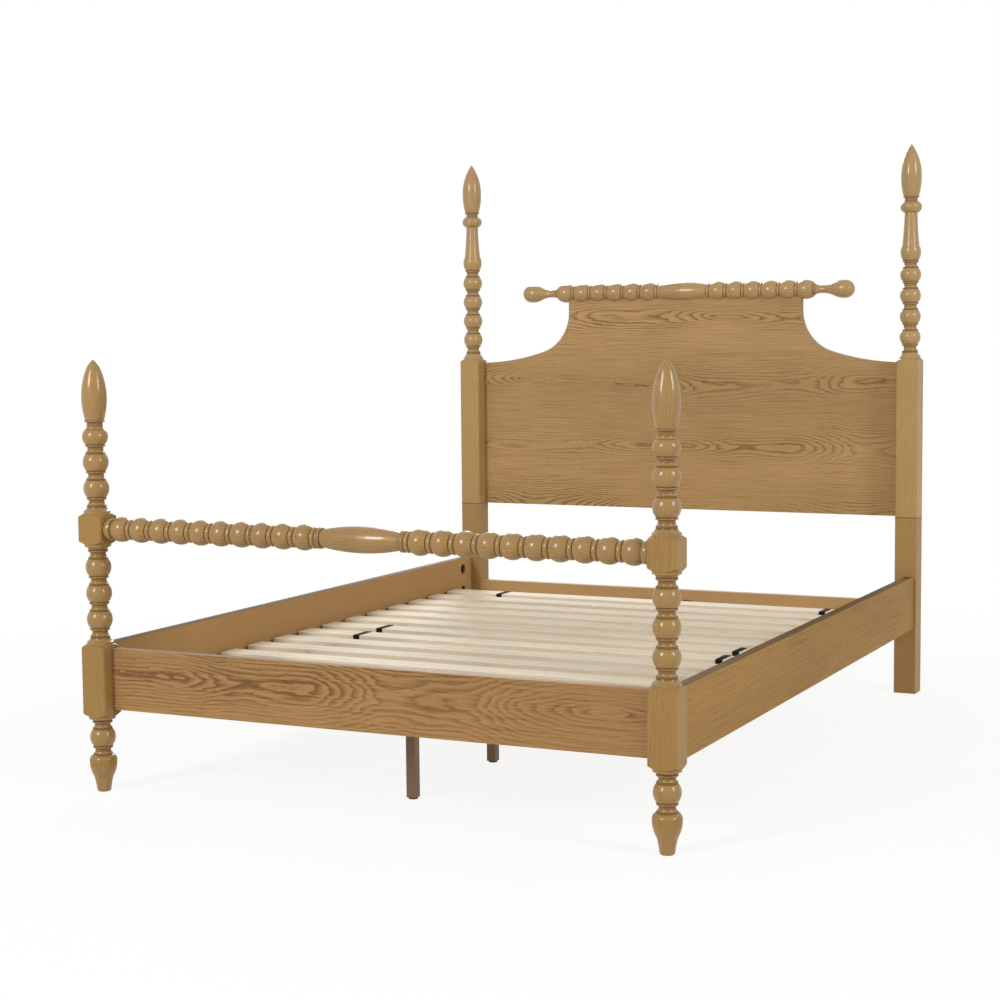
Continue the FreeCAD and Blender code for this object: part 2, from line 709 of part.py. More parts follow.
def mirrored(corners):
    """The same profile on the other side of the middle, again from left to right."""
    result = []
    for index in range(len(corners) - 1, -1, -1):
        corner = (-size(corners[index][0]), corners[index][1])
        if index > 0 and len(corners[index - 1]) == 3:
            corner += (corners[index - 1][2],)
        result.append(corner)
    return result


def bead_row(body, start, pitch, gap, radius, beads):
    """A row of beads to the right and one to the left of the middle. The gap before each
    bead holds a groove, a small ring and a second groove."""
    groove_end = start + dim.spindle_groove
    ring_end = start + gap - dim.spindle_groove
    low = dim.spindle_groove_radius
    end = dim.bead_end_radius
    unit = [(start, low), (groove_end, low), (groove_end, end, dim.spindle_ring_bulge),
            (ring_end, end), (ring_end, low), (start + gap, low),
            (start + gap, end, radius - end), (start + pitch, end)]
    for corners, leftwards in ((unit, False), (mirrored(unit), True)):
        bead = turn_bar(body, corners)
        row = body.newObject("PartDesign::LinearPattern", body.Label + "_row")
        row.Originals = [bead]
        row.Direction = (bead.Profile[0], ["H_Axis"])
        row.Reversed = leftwards
        bind(row, "Length", pitch * (beads - 1))
        row.Occurrences = beads
        settle(body, row)
    return start + pitch * beads


def make_foot_spindle():
    body = new_body("foot_spindle_rail")
    bulb = dim.foot_bulb_radius - dim.foot_bulb_end_radius
    low = dim.spindle_groove_radius
    start = dim.foot_bulb_half
    collar_start = start + dim.spindle_groove
    collar_middle = start + dim.foot_bulb_collar / 2
    # the bulb, with a collar of two thin rings at each end
    right = [(start, low), (collar_start, low),
             (collar_start, dim.bead_end_radius, dim.spindle_ring_bulge),
             (collar_middle, dim.bead_end_radius, dim.spindle_ring_bulge),
             (foot_row_start, dim.bead_end_radius)]
    bulb_corners = mirrored(right)
    bulb_corners.append((-start, dim.foot_bulb_end_radius, bulb))
    bulb_corners.append((start, dim.foot_bulb_end_radius))
    turn_bar(body, bulb_corners + right)
    place = bead_row(body, foot_row_start, foot_spindle_pitch, dim.spindle_bead_gap,
                     dim.spindle_bead_radius, FOOT_BEADS)
    ring = place + dim.spindle_groove
    tip = post_inner + dim.round_tenon_length
    corners = [(place, low), (ring, low),
               (ring, dim.foot_collar_radius, dim.spindle_ring_bulge),
               (post_inner, dim.foot_collar_radius), (post_inner, dim.round_tenon_radius),
               (tip, dim.round_tenon_radius)]
    turn_bar(body, corners)
    turn_bar(body, mirrored(corners))
    bind(body, "Placement.Base.y", foot_y)
    bind(body, "Placement.Base.z", foot_spindle_z)


def make_head_spindle():
    body = new_body("headboard_spindle")
    bulb = dim.head_bulb_radius - dim.head_bulb_end_radius
    turn_bar(body, [(-dim.head_bulb_half, dim.head_bulb_end_radius, bulb),
                    (dim.head_bulb_half, dim.head_bulb_end_radius)])
    place = bead_row(body, dim.head_bulb_half, head_spindle_pitch, dim.head_bead_gap,
                     dim.head_spindle_bead, HEAD_BEADS)
    neck = place + dim.spindle_groove
    low = dim.spindle_groove_radius - 1
    knob_neck = post_inner - dim.knob_neck_setback
    knob_end = post_inner - dim.knob_end_setback
    widest = knob_end - dim.knob_radius
    corners = [(place, low), (neck, low, -1.5),
               (knob_neck, dim.knob_neck_radius, -3.2),
               (widest - 38, dim.knob_radius - 7.5, 3),
               (widest, dim.knob_radius, dim.knob_radius * 0.27),
               (knob_end, dim.knob_end_radius)]
    turn_bar(body, corners)
    turn_bar(body, mirrored(corners))

    # slot along the underside that takes the panel's top edge
    sketch = new_sketch(body, "XY_Plane", panel_top - head_spindle_z)
    width = dim.panel_thickness / 2 + loose
    length = panel_top_half + loose
    rectangle(sketch, -length, length, -width, width)
    pocket(body, sketch, dim.head_spindle_bead)
    sketch = new_sketch(body, "XY_Plane", panel_top - head_spindle_z - 1)
    circles(sketch, dim.dowel_radius + loose, [(x, 0) for x in spindle_dowel_places])
    pocket(body, sketch, dim.dowel_length / 2 + 2, reverse=True)
    bind(body, "Placement.Base.y", panel_middle)
    bind(body, "Placement.Base.z", head_spindle_z)


third_bead = dim.head_bulb_half + head_spindle_pitch * 2.5 + dim.head_bead_gap / 2
fifth_bead = third_bead + head_spindle_pitch * 2
spindle_dowel_places = [-fifth_bead, -third_bead, size(0), third_bead, fifth_bead]

make_panel()
make_foot_spindle()
make_head_spindle()

# ------------------------------------------------------------------- rails


def make_foot_rail():
    body = new_body("foot_rail")
    sketch = new_sketch(body, "XZ_Plane", -foot_rail_middle)
    rectangle(sketch, -post_inner, post_inner, foot_rail_bottom, foot_rail_top)
    pad(body, sketch, dim.foot_rail_thickness, middle=True)
    sketch = new_sketch(body, "XZ_Plane", -foot_rail_middle)
    tip = post_inner + dim.tenon_length
    low = foot_rail_bottom + dim.tenon_shoulder
    high = foot_rail_top - dim.tenon_shoulder
    rectangle(sketch, -tip, tip, low, high)
    pad(body, sketch, dim.tenon_thickness, middle=True)
    pocket_bracket_screws(body, foot_rail_back, False)
    return body


def bracket_screw_places():
    """Across and up of the four screws of a beam bracket's wings."""
    across = dim.beam_width / 2 + dim.beam_end_gap + dim.bracket_metal + dim.bracket_wing / 2
    places = []
    for side in (-1, 1):
        for share in (0.25, 0.75):
            places.append((across * side, beam_bottom + dim.beam_height * share))
    return places


def pocket_bracket_screws(body, face_y, towards_head):
    """Pilot holes behind a bracket, 1 mm deeper than its screws reach."""
    sketch = new_sketch(body, "XZ_Plane", -face_y)
    circles(sketch, dim.screw_radius + loose, bracket_screw_places())
    depth = dim.beam_screw_length - dim.bracket_metal + 1
    pocket(body, sketch, depth, reverse=not towards_head)


def make_cross_rail():
    body = new_body("head_cross_rail")
    sketch = new_sketch(body, "XZ_Plane", -cross_rail_middle)
    rectangle(sketch, -post_inner, post_inner, cross_rail_bottom, cross_rail_top)
    pad(body, sketch, dim.cross_rail_thickness, middle=True)
    for side in (-1, 1):
        sketch = new_sketch(body, "YZ_Plane", post_inner * side)
        circles(sketch, dim.dowel_radius + loose,
                [(cross_rail_middle, level) for level in cross_dowel_levels])
        pocket(body, sketch, dim.dowel_length / 2 + 1, reverse=side < 0)
    pocket_bracket_screws(body, head_front, True)
    return body


def rail_fitting_places():
    """Along and up of the four round pockets of a side rail."""
    places = []
    for along in (foot_back + dim.pocket_setback, head_front - dim.pocket_setback):
        for level in (rail_bolt_upper, rail_bolt_lower):
            places.append((along, level))
    return places


def make_side_rail(label, side):
    body = new_body(label)
    sketch = new_sketch(body, "YZ_Plane", rail_inner * side)
    rectangle(sketch, foot_back, head_front, dim.side_rail_bottom, side_rail_top)
    board = pad(body, sketch, dim.side_rail_thickness, reverse=side < 0)
    end = head_front.number
    top = side_rail_top.number

    def head_corner(one, other):
        return min(one.y, other.y) > end - 0.01 and min(one.z, other.z) > top - 0.01

    fillet(body, board, edges_where(board.Shape, head_corner), dim.side_rail_corner)
    sketch = new_sketch(body, "YZ_Plane", rail_inner * side)
    circles(sketch, dim.pocket_radius, rail_fitting_places())
    pocket(body, sketch, dim.pocket_depth, reverse=side > 0)
    levels = (rail_bolt_upper, rail_bolt_lower)
    reach = dim.pocket_setback
    for face, backwards in ((foot_back, True), (head_front, False)):
        sketch = new_sketch(body, "XZ_Plane", -face)
        circles(sketch, dim.rail_bolt_radius + dim.bolt_play,
                [(rail_middle_x * side, level) for level in levels])
        pocket(body, sketch, reach, reverse=not backwards)
    # pilot holes for the cleat's screws
    sketch = new_sketch(body, "YZ_Plane", rail_inner * side)
    circles(sketch, dim.screw_radius + loose, [(y, cleat_middle) for y in cleat_screw_places])
    pocket(body, sketch, dim.cleat_screw_length - dim.cleat_width + dim.screw_head_height + 1,
           reverse=side > 0)
    return body


def make_cleat(label, side):
    body = new_body(label)
    sketch = new_sketch(body, "YZ_Plane", cleat_inner * side)
    rectangle(sketch, cleat_start, cleat_start + cleat_length, cleat_bottom, slat_bottom)
    pad(body, sketch, dim.cleat_width, reverse=side < 0)
    sketch = new_sketch(body, "YZ_Plane", cleat_inner * side)
    circles(sketch, dim.screw_radius + loose, [(y, cleat_middle) for y in cleat_screw_places])
    pocket(body, sketch, dim.cleat_width + 1, reverse=side > 0)
    sketch = new_sketch(body, "YZ_Plane", cleat_inner * side)
    circles(sketch, dim.screw_head_radius + loose, [(y, cleat_middle) for y in cleat_screw_places])
    pocket(body, sketch, dim.screw_head_height + loose, reverse=side > 0)
    return body


make_foot_rail()
make_cross_rail()
make_side_rail("side_rail_left", -1)
make_side_rail("side_rail_right", 1)
make_cleat("cleat_left", -1)
make_cleat("cleat_right", 1)

# ----------------------------------------------------- centre beam and brackets


def make_beam():
    body = new_body("centre_beam")
    sketch = new_sketch(body, "XZ_Plane", -beam_start)
    half = dim.beam_width / 2
    rectangle(sketch, -half, half, beam_bottom, slat_bottom)
    pad(body, sketch, beam_end - beam_start, reverse=True)
    sketch = new_sketch(body, "XY_Plane", slat_bottom)
    circles(sketch, dim.screw_radius + loose, [(0, y) for y in slat_screw_places])
    pocket(body, sketch, dim.slat_screw_length - dim.slat_thickness + dim.screw_head_height + 1)
    sketch = new_sketch(body, "XY_Plane", beam_bottom)
    circles(sketch, dim.screw_radius + loose, leg_screw_places)
    pocket(body, sketch, dim.beam_screw_length - dim.leg_plate_thickness + 1, reverse=True)


def make_bracket(label, face_y, towards_head):
    """A pressed steel seat for one end of the beam: wings screwed to the rail, two cheeks
    and a seat below. Its back lies on the face at face_y."""
    body = new_body(label)
    inside = dim.beam_width / 2 + dim.beam_end_gap
    outside = inside + dim.bracket_metal
    wing = outside + dim.bracket_wing
    floor = beam_bottom - dim.bracket_metal
    sketch = new_sketch(body, "XZ_Plane", -face_y)
    rectangle(sketch, -wing, wing, floor, slat_bottom)
    pad(body, sketch, dim.bracket_metal, reverse=towards_head)
    sketch = new_sketch(body, "XZ_Plane", -face_y)
    outline(sketch, [(-outside, floor), (outside, floor), (outside, slat_bottom),
                     (inside, slat_bottom), (inside, beam_bottom), (-inside, beam_bottom),
                     (-inside, slat_bottom), (-outside, slat_bottom)])
    pad(body, sketch, dim.bracket_seat, reverse=towards_head)
    sketch = new_sketch(body, "XZ_Plane", -face_y)
    circles(sketch, dim.screw_radius + loose, bracket_screw_places())
    pocket(body, sketch, dim.bracket_metal + 1, reverse=not towards_head)


slat_screw_places = []
for number in (SLATS_PER_ROLL - 1, SLATS_PER_ROLL):
    slat_screw_places.append(slat_starts[number] + dim.slat_width / 2)
plate_screw_reach = dim.leg_plate_length / 2 - 11
leg_screw_places = []
for place in leg_places:
    leg_screw_places += [(0, place - plate_screw_reach), (0, place + plate_screw_reach)]

make_beam()
make_bracket("beam_bracket_foot", foot_rail_back, True)
make_bracket("beam_bracket_head", head_front, False)

# ------------------------------------------------------------------ centre legs

leg_top = beam_bottom - dim.leg_plate_thickness
tube_bottom = dim.foot_pad_height + dim.foot_gap + dim.plug_flange
tube_inside = dim.centre_leg_size / 2 - dim.centre_leg_wall


def make_centre_leg(label, place):
    body = new_body(label)
    half = dim.centre_leg_size / 2
    sketch = new_sketch(body, "XY_Plane", tube_bottom)
    rectangle(sketch, -half, half, -half, half)
    pad(body, sketch, leg_top - tube_bottom)
    sketch = new_sketch(body, "XY_Plane", tube_bottom)
    rectangle(sketch, -tube_inside, tube_inside, -tube_inside, tube_inside)
    pocket(body, sketch, leg_top - tube_bottom, reverse=True)
    sketch = new_sketch(body, "XY_Plane", leg_top)
    plate = dim.leg_plate_length / 2
    rectangle(sketch, -half, half, -plate, plate)
    pad(body, sketch, dim.leg_plate_thickness)
    sketch = new_sketch(body, "XY_Plane", leg_top)
    circles(sketch, dim.screw_radius + loose, [(0, -plate_screw_reach), (0, plate_screw_reach)])
    pocket(body, sketch, dim.leg_plate_thickness + 1, reverse=True)
    bind(body, "Placement.Base.y", place)


def make_levelling_foot(label, place):
    """A round pad on a threaded stem that screws out of the plug of a centre leg."""
    body = new_body(label)
    sketch = new_sketch(body, "XZ_Plane")
    pad_top = dim.foot_pad_height
    stem_top = tube_bottom + dim.leg_plug_depth + dim.foot_stem_spare
    outline(sketch, [(0, 0), (dim.foot_pad_radius - 0.6, 0), (dim.foot_pad_radius, 0.6),
                     (dim.foot_pad_radius, pad_top), (dim.rail_bolt_radius, pad_top),
                     (dim.rail_bolt_radius, stem_top), (0, stem_top)])
    revolve(body, sketch, "V_Axis")
    bind(body, "Placement.Base.y", place)


for number, place in enumerate(leg_places, start=1):
    make_centre_leg("centre_leg_%d" % number, place)
    make_levelling_foot("levelling_foot_%d" % number, place)

# ----------------------------------------------------------------- slats, straps


def staple_leg_places(middle_y):
    """Left and right leg of each staple under one slat, at the middle of its width."""
    places = []
    for side in (-1, 1):
        for end in (-1, 1):
            places.append((dim.strap_half * side + dim.staple_half * end, middle_y))
    return places


def leg_holes(sketch, places):
    half = dim.staple_wire / 2 + loose
    for across, along in places:
        rectangle(sketch, across - half, across + half, along - half, along + half)


def make_slat(number, start):
    body = new_body("slat_%02d" % (number + 1))
    sketch = new_sketch(body, "XY_Plane")
    rectangle(sketch, -slat_half, slat_half, 0, dim.slat_width)
    board = pad(body, sketch, dim.slat_thickness)
    top = dim.slat_thickness.number

    def upper_long(one, other):
        return min(one.z, other.z) > top - 0.01 and abs(one.y - other.y) < 0.01

    fillet(body, board, edges_where(board.Shape, upper_long), size(1.5))
    middle = dim.slat_width / 2
    sketch = new_sketch(body, "XY_Plane")
    leg_holes(sketch, staple_leg_places(middle))
    pocket(body, sketch, dim.staple_depth, reverse=True)
    if number in (SLATS_PER_ROLL - 1, SLATS_PER_ROLL):
        sketch = new_sketch(body, "XY_Plane", dim.slat_thickness)
        circles(sketch, dim.screw_radius + loose, [(0, middle)])
        pocket(body, sketch, dim.slat_thickness + 1)
        sketch = new_sketch(body, "XY_Plane", dim.slat_thickness)
        circles(sketch, dim.screw_head_radius + loose, [(0, middle)])
        pocket(body, sketch, dim.screw_head_height + loose)
    bind(body, "Placement.Base.y", start)
    bind(body, "Placement.Base.z", slat_bottom)


def make_strap(label, side, roll):
    """A flat webbing band under the slats of a roll. At both ends it goes up the outer edge
    of the end slat, over its top and down the inner edge."""
    body = new_body(label)
    first = slat_starts[roll * SLATS_PER_ROLL]
    last = slat_starts[(roll + 1) * SLATS_PER_ROLL - 1] + dim.slat_width
    gap = dim.strap_gap
    far = gap + dim.strap_thickness
    low = slat_bottom
    high = dim.deck_height
    tuck = low + 1
    foot_inner = first + dim.slat_width
    head_inner = last - dim.slat_width
    corners = [(first - far, low - far), (last + far, low - far), (last + far, high + far),
               (head_inner - far, high + far), (head_inner - far, tuck),
               (head_inner - gap, tuck), (head_inner - gap, high + gap),
               (last + gap, high + gap), (last + gap, low - gap), (first - gap, low - gap),
               (first - gap, high + gap), (foot_inner + gap, high + gap),
               (foot_inner + gap, tuck), (foot_inner + far, tuck),
               (foot_inner + far, high + far), (first - far, high + far)]
    sketch = new_sketch(body, "YZ_Plane", dim.strap_half * side - dim.strap_width / 2)
    outline(sketch, corners)
    pad(body, sketch, dim.strap_width)
    sketch = new_sketch(body, "XY_Plane", low - gap)
    places = []
    for number in range(roll * SLATS_PER_ROLL, (roll + 1) * SLATS_PER_ROLL):
        middle = slat_starts[number] + dim.slat_width / 2
        for end in (-1, 1):
            places.append((dim.strap_half * side + dim.staple_half * end, middle))
    leg_holes(sketch, places)
    pocket(body, sketch, dim.strap_thickness + 1)


for number, start in enumerate(slat_starts):
    make_slat(number, start)
for roll, place in ((0, "foot"), (1, "head")):
    for side, hand in ((-1, "left"), (1, "right")):
        make_strap("strap_%s_%s" % (place, hand), side, roll)

# -------------------------------------------------------------------- fastenings


def mm(value):
    return size(value).number


def point(x, y, z):
    return Vector(mm(x), mm(y), mm(z))


def group(label, shapes):
    """Like pieces as separate solids under one name."""
    feature = doc.addObject("Part::Feature", label)
    feature.Label = label
    feature.Shape = Part.makeCompound(shapes)


def turned(shape, start, direction):
    """Moves a shape, made along +Z from the origin, to a start and a direction."""
    moved = shape.copy()
    moved.Placement = FreeCAD.Placement(start, Rotation(Vector(0, 0, 1), direction))
    return moved


def dowel(radius, length):
    rod = Part.makeCylinder(mm(radius), mm(length))
    return rod.makeChamfer(0.8, [rod.Edges[0], rod.Edges[2]])


def screw(length):
    """A pan-head wood screw with its cross recess; the head's underside is at the origin
    and the point lies along +Z."""
    radius = mm(dim.screw_head_radius)
    head_height = mm(dim.screw_head_height)
    shank_radius = mm(dim.screw_radius)
    straight = mm(length) - 5
    head = Part.makeCylinder(radius, head_height, Vector(0, 0, -head_height))
    rim = [edge for edge in head.Edges if abs(edge.CenterOfMass.z + head_height) < 0.01]
    head = head.makeFillet(1.2, rim)
    for turn in (0, 90):
        recess = Part.makeBox(radius * 1.1, 1, 1.6, Vector(-radius * 0.55, -0.5, -head_height - 0.1))
        recess.rotate(Vector(0, 0, 0), Vector(0, 0, 1), turn)
        head = head.cut(recess)
    shank = Part.makeCylinder(shank_radius, straight)
    tip = Part.makeCone(shank_radius, 0.3, 5, Vector(0, 0, straight))
    return head.fuse([shank, tip]).removeSplitter()


FORWARDS = Vector(0, 1, 0)
BACKWARDS = Vector(0, -1, 0)
UP = Vector(0, 0, 1)
DOWN = Vector(0, 0, -1)
head_depth = dim.screw_head_height + loose

bolts = []
washers = []
nuts = []
inserts = []
insert = Part.makeCylinder(mm(dim.insert_radius), mm(dim.insert_length))
insert = insert.cut(Part.makeCylinder(mm(dim.rail_bolt_radius + loose), mm(dim.insert_length)))
washer_face = dim.pocket_radius - loose - dim.washer_height
bolt_length = dim.insert_length - 2 + dim.pocket_setback - washer_face + dim.nut_height + dim.bolt_end
bolt = dowel(dim.rail_bolt_radius, bolt_length)
hexagon = []
for number in range(7):
    angle = math.radians(60 * number + 30)
    reach = mm(dim.nut_flats) / math.sqrt(3)
    hexagon.append(Vector(reach * math.cos(angle), reach * math.sin(angle), 0))
nut = Part.Face(Part.makePolygon(hexagon)).extrude(Vector(0, 0, mm(dim.nut_height)))
nut = nut.cut(Part.makeCylinder(mm(dim.rail_bolt_radius + loose), mm(dim.nut_height)))
for side in (-1, 1):
    x = rail_middle_x * side
    for face, direction, sign in ((foot_back, FORWARDS, 1), (head_front, BACKWARDS, -1)):
        for level in (rail_bolt_upper, rail_bolt_lower):
            centre = face + dim.pocket_setback * sign
            bolt_start = face - (dim.insert_length - 2) * sign
            bolts.append(turned(bolt, point(x, bolt_start, level), direction))
            inserts.append(turned(insert, point(x, face - dim.insert_length * sign, level),
                                  direction))
            nut_start = centre - washer_face * sign
            nuts.append(turned(nut, point(x, nut_start, level), direction))
            # half-moon washer: the slice of a cylinder that fits the pocket's wall
            width = mm(dim.washer_width)
            disc = Part.makeCylinder(mm(dim.pocket_radius - loose), width,
                                     point(x - dim.washer_width / 2, centre, level),
                                     Vector(1, 0, 0))
            keep_start = centre - (dim.pocket_radius + 1) * sign
            low_y = min(mm(keep_start), mm(nut_start))
            high_y = max(mm(keep_start), mm(nut_start))
            slab = Part.makeBox(width, high_y - low_y, 2 * mm(dim.pocket_radius),
                                Vector(mm(x) - width / 2, low_y, mm(level - dim.pocket_radius)))
            washer = disc.common(slab)
            hole = turned(Part.makeCylinder(mm(dim.rail_bolt_radius + loose), 60),
                          point(x, face, level), direction)
            washers.append(washer.cut(hole))
group("rail_bolts", bolts)
group("rail_bolt_washers", washers)
group("rail_bolt_nuts", nuts)
group("threaded_inserts", inserts)

joint_dowel = dowel(dim.post_dowel_radius, dim.post_dowel_length)
small_dowel = dowel(dim.dowel_radius, dim.dowel_length)
post_dowels = []
rail_dowels = []
for side in (-1, 1):
    for y in (head_y - dim.post_dowel_half, head_y + dim.post_dowel_half - 8):
        start = point(post_x * side, y, dim.head_seam_height - dim.post_dowel_length / 2)
        post_dowels.append(turned(joint_dowel, start, UP))
    for level in cross_dowel_levels:
        start = point(post_inner * side - dim.dowel_length / 2, cross_rail_middle, level)
        rail_dowels.append(turned(small_dowel, start, Vector(1, 0, 0)))
top_dowels = []
for x in spindle_dowel_places:
    start = point(x, panel_middle, panel_top - dim.dowel_length / 2)
    top_dowels.append(turned(small_dowel, start, UP))
group("head_post_dowels", post_dowels)
group("cross_rail_dowels", rail_dowels)
group("headboard_spindle_dowels", top_dowels)

panel_screws = []
cleat_screws = []
panel_screw = screw(dim.panel_screw_length)
cleat_screw = screw(dim.cleat_screw_length)
panel_back = panel_front + dim.panel_thickness
for side in (-1, 1):
    for level in panel_screw_levels:
        start = point((post_inner + dim.panel_lap / 2) * side, panel_back - head_depth, level)
        panel_screws.append(turned(panel_screw, start, BACKWARDS))
    for y in cleat_screw_places:
        start = point((cleat_inner + head_depth) * side, y, cleat_middle)
        cleat_screws.append(turned(cleat_screw, start, Vector(side, 0, 0)))
group("panel_screws", panel_screws)
group("cleat_screws", cleat_screws)

slat_screw = screw(dim.slat_screw_length)
short_screw = screw(dim.beam_screw_length)
slat_screws = []
for y in slat_screw_places:
    slat_screws.append(turned(slat_screw, point(0, y, dim.deck_height - head_depth), DOWN))
group("slat_screws", slat_screws)
leg_screws = [turned(short_screw, point(0, y, leg_top), UP) for x, y in leg_screw_places]
group("centre_leg_screws", leg_screws)
bracket_screws = []
for x, z in bracket_screw_places():
    start = point(x, foot_rail_back + dim.bracket_metal, z)
    bracket_screws.append(turned(short_screw, start, BACKWARDS))
    start = point(x, head_front - dim.bracket_metal, z)
    bracket_screws.append(turned(short_screw, start, FORWARDS))
group("bracket_screws", bracket_screws)

wire = mm(dim.staple_wire)
crown_top = slat_bottom - dim.strap_gap - dim.strap_thickness
staples = []
for start in slat_starts:
    for side in (-1, 1):
        left = dim.strap_half * side - dim.staple_half - dim.staple_wire / 2
        corner = point(left, start + (dim.slat_width - dim.staple_wire) / 2,
                       crown_top - dim.staple_wire)
        crown = Part.makeBox(mm(dim.staple_half * 2) + wire, wire, wire, corner)
        tall = mm(slat_bottom + dim.staple_depth - 1 - crown_top) + wire
        legs = [Part.makeBox(wire, wire, tall, corner),
                Part.makeBox(wire, wire, tall, corner + Vector(mm(dim.staple_half * 2), 0, 0))]
        staples.append(crown.fuse(legs).removeSplitter())
group("strap_staples", staples)

plug_bottom = tube_bottom - dim.plug_flange
plugs = []
for place in leg_places:
    flange_side = mm(dim.centre_leg_size)
    inner_side = mm(tube_inside - loose) * 2
    flange = Part.makeBox(flange_side, flange_side, mm(dim.plug_flange),
                          point(-dim.centre_leg_size / 2, place - dim.centre_leg_size / 2,
                                plug_bottom))
    inner = Part.makeBox(inner_side, inner_side, mm(dim.leg_plug_depth + dim.plug_flange),
                         point(-(tube_inside - loose), place - (tube_inside - loose),
                               plug_bottom))
    thread = Part.makeCylinder(mm(dim.rail_bolt_radius + dim.thread_play), 60,
                               point(0, place, plug_bottom - 1))
    plugs.append(flange.fuse(inner).removeSplitter().cut(thread))
group("leg_plugs", plugs)

# ------------------------------------------------------------- checks and export

doc.recompute()
nodes = []
for thing in doc.Objects:
    for word in ("Invalid", "Error"):
        if word in thing.State:
            raise RuntimeError("%s is in state %s" % (thing.Name, thing.State))
    if thing.TypeId in ("PartDesign::Body", "Part::Feature"):
        nodes.append(thing)

os.makedirs("parts", exist_ok=True)
for node in nodes:
    shape = node.Shape
    if shape.isNull() or not shape.isValid() or not shape.Solids:
        raise RuntimeError("no sound shape for " + node.Label)
    if node.Shape.Volume < 1 or any(not solid.isClosed() for solid in node.Shape.Solids):
        raise RuntimeError("open shape for " + node.Label)
for node in nodes:
    node.Shape.exportStep("parts/%s.step" % node.Label)
print(len(nodes), "nodes,", sum(len(node.Shape.Solids) for node in nodes), "solids")
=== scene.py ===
import math

import bmesh
import bpy
from mathutils import Matrix, Vector


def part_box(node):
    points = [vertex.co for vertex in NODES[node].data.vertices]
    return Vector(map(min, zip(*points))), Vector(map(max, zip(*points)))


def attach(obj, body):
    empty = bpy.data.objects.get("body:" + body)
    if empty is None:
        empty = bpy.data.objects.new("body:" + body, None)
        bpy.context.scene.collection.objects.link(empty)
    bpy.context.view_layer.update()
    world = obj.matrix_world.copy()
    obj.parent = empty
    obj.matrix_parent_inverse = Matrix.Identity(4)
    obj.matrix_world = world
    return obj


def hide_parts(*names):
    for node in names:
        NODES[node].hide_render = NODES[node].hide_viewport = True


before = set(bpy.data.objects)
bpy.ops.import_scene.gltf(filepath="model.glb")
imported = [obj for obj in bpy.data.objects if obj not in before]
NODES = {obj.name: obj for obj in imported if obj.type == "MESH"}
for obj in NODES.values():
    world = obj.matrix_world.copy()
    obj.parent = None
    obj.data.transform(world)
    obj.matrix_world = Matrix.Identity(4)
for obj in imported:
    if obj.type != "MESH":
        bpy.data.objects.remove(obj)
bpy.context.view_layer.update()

bl_info = {
    "name": "Spindle Bed",
    "version": (1, 0, 0),
    "blender": (4, 5, 0),
    "location": "3D View > Sidebar > Spindle Bed",
    "description": "Finishes for a beaded wooden bed frame, and the studio around it",
    "category": "Object",
}

FRAME_BODY = "frame"
SIDES = ("left", "right")
LEG_NUMBERS = range(1, 5)
SLATS = [name for name in NODES if name.startswith("slat_") and name != "slat_screws"]

# Lengths are in metres.

# from the tip of a post down to the base of its finial, and to the ends of the column
FOOT_FINIAL = 0.1525
HEAD_FINIAL = 0.162
HEAD_COLUMN_TOP = 0.214
HEAD_COLUMN_FOOT = 0.322
# from the floor up to the top of a foot post's vase
VASE_TOP = 0.095
# from the middle of a spindle to where its glaze stops
FOOT_SPINDLE_GLAZED = 0.735
HEAD_SPINDLE_GLAZED = 0.46
# radius at the bottom of the turned grooves
NECK_RADIUS = 0.020
FOOT_RAIL_GROOVE = 0.021
# over the bottom of a groove, the glaze is whole up to the first and gone at the second
GLAZE_WHOLE = 0.0002
GLAZE_GONE = 0.0008
# radius at which the beads of a post end in a dark line; the spindles have no such line
BEAD_END = 0.0243
NO_LINE = -1.0
# farther than this from its axis, a post has only the flats of its square blocks
BLOCK_RADIUS = 0.0337
# gloss of those flats, as a share of the turning's
BLOCK_SHINE = 0.06

# a left piece and a right piece lie this far before and behind on the same log
TWIN_SHIFT = 1.7
# the turned pieces are cut from beside the heart of the log
HEART_ASIDE = 0.05
HEART_BELOW = 0.06
# wider than any board, which makes it one leaf
ONE_LEAF = 10.0
# from leaf to leaf, the log's wander is read from another row of the noise
LEAF_STRIDE = 5.3
# through a rail, from its outer face to the plain stain of its inner face
INNER_FACE_DEPTH = 0.0255
# below the top of a slat, its side faces begin, which get painted shade
PAINTED_SHADE_SIDE_DEPTH = 0.0012
# below the top of a side rail, its painted shade along the top edge begins and is full
PAINTED_SHADE_TOP_START = 0.0012
PAINTED_SHADE_TOP_FULL = 0.0004

# shader values that all wooden pieces have
WOOD_SPECULAR = 0.12
WOOD_WEAR = 0.1

# spacing of the threads across and along a band
WARP_PITCH = 0.0016
WEFT_PITCH = 0.0022
# between a band and the slat that it wraps, and the radius of its bends
STRAP_GAP = 0.0003
STRAP_BEND = 0.0014
ARC_STEPS = 5
# a band ends this far above the underside of the slat
STRAP_TIP = 0.0012
BAND_COLUMNS = 20
# thickness of the band's two edges and of the rest, as shares of the whole
SELVEDGE = 0.45
BAND_BODY = 0.92

# name, turn from the camera in degrees, and share of the strongest lamp's power
SOFT_BOXES = (("left", -44, 1.0), ("right", 50, 0.75), ("back", 180, 0.6))
LAMP_REACH = 8.0
LAMP_RISE = 3.6
LAMP_AIM = (0, 0, 0.6)
FLOOR_RADIUS = 30.0
# the floor glows a little less within the first distance, to show the bed's shadow
SHADOW_NEAR = 1.6
SHADOW_FAR = 3.2
SHADOW_GLOW = 0.86
VIEW_DISTANCE = 100
# in millimetres
SENSOR_WIDTH = 36


def srgb(red, green, blue):
    """A colour given in 0-255 display values as linear values."""
    result = []
    for value in (red, green, blue):
        share = value / 255
        if share <= 0.04045:
            result.append(share / 12.92)
        else:
            result.append(((share + 0.055) / 1.055) ** 2.4)
    return tuple(result)


SEAM_TINT = srgb(60, 40, 22)
# painted shade along the top edge of the side rails
PAINTED_SHADE_TOP_TINT = srgb(70, 48, 28)


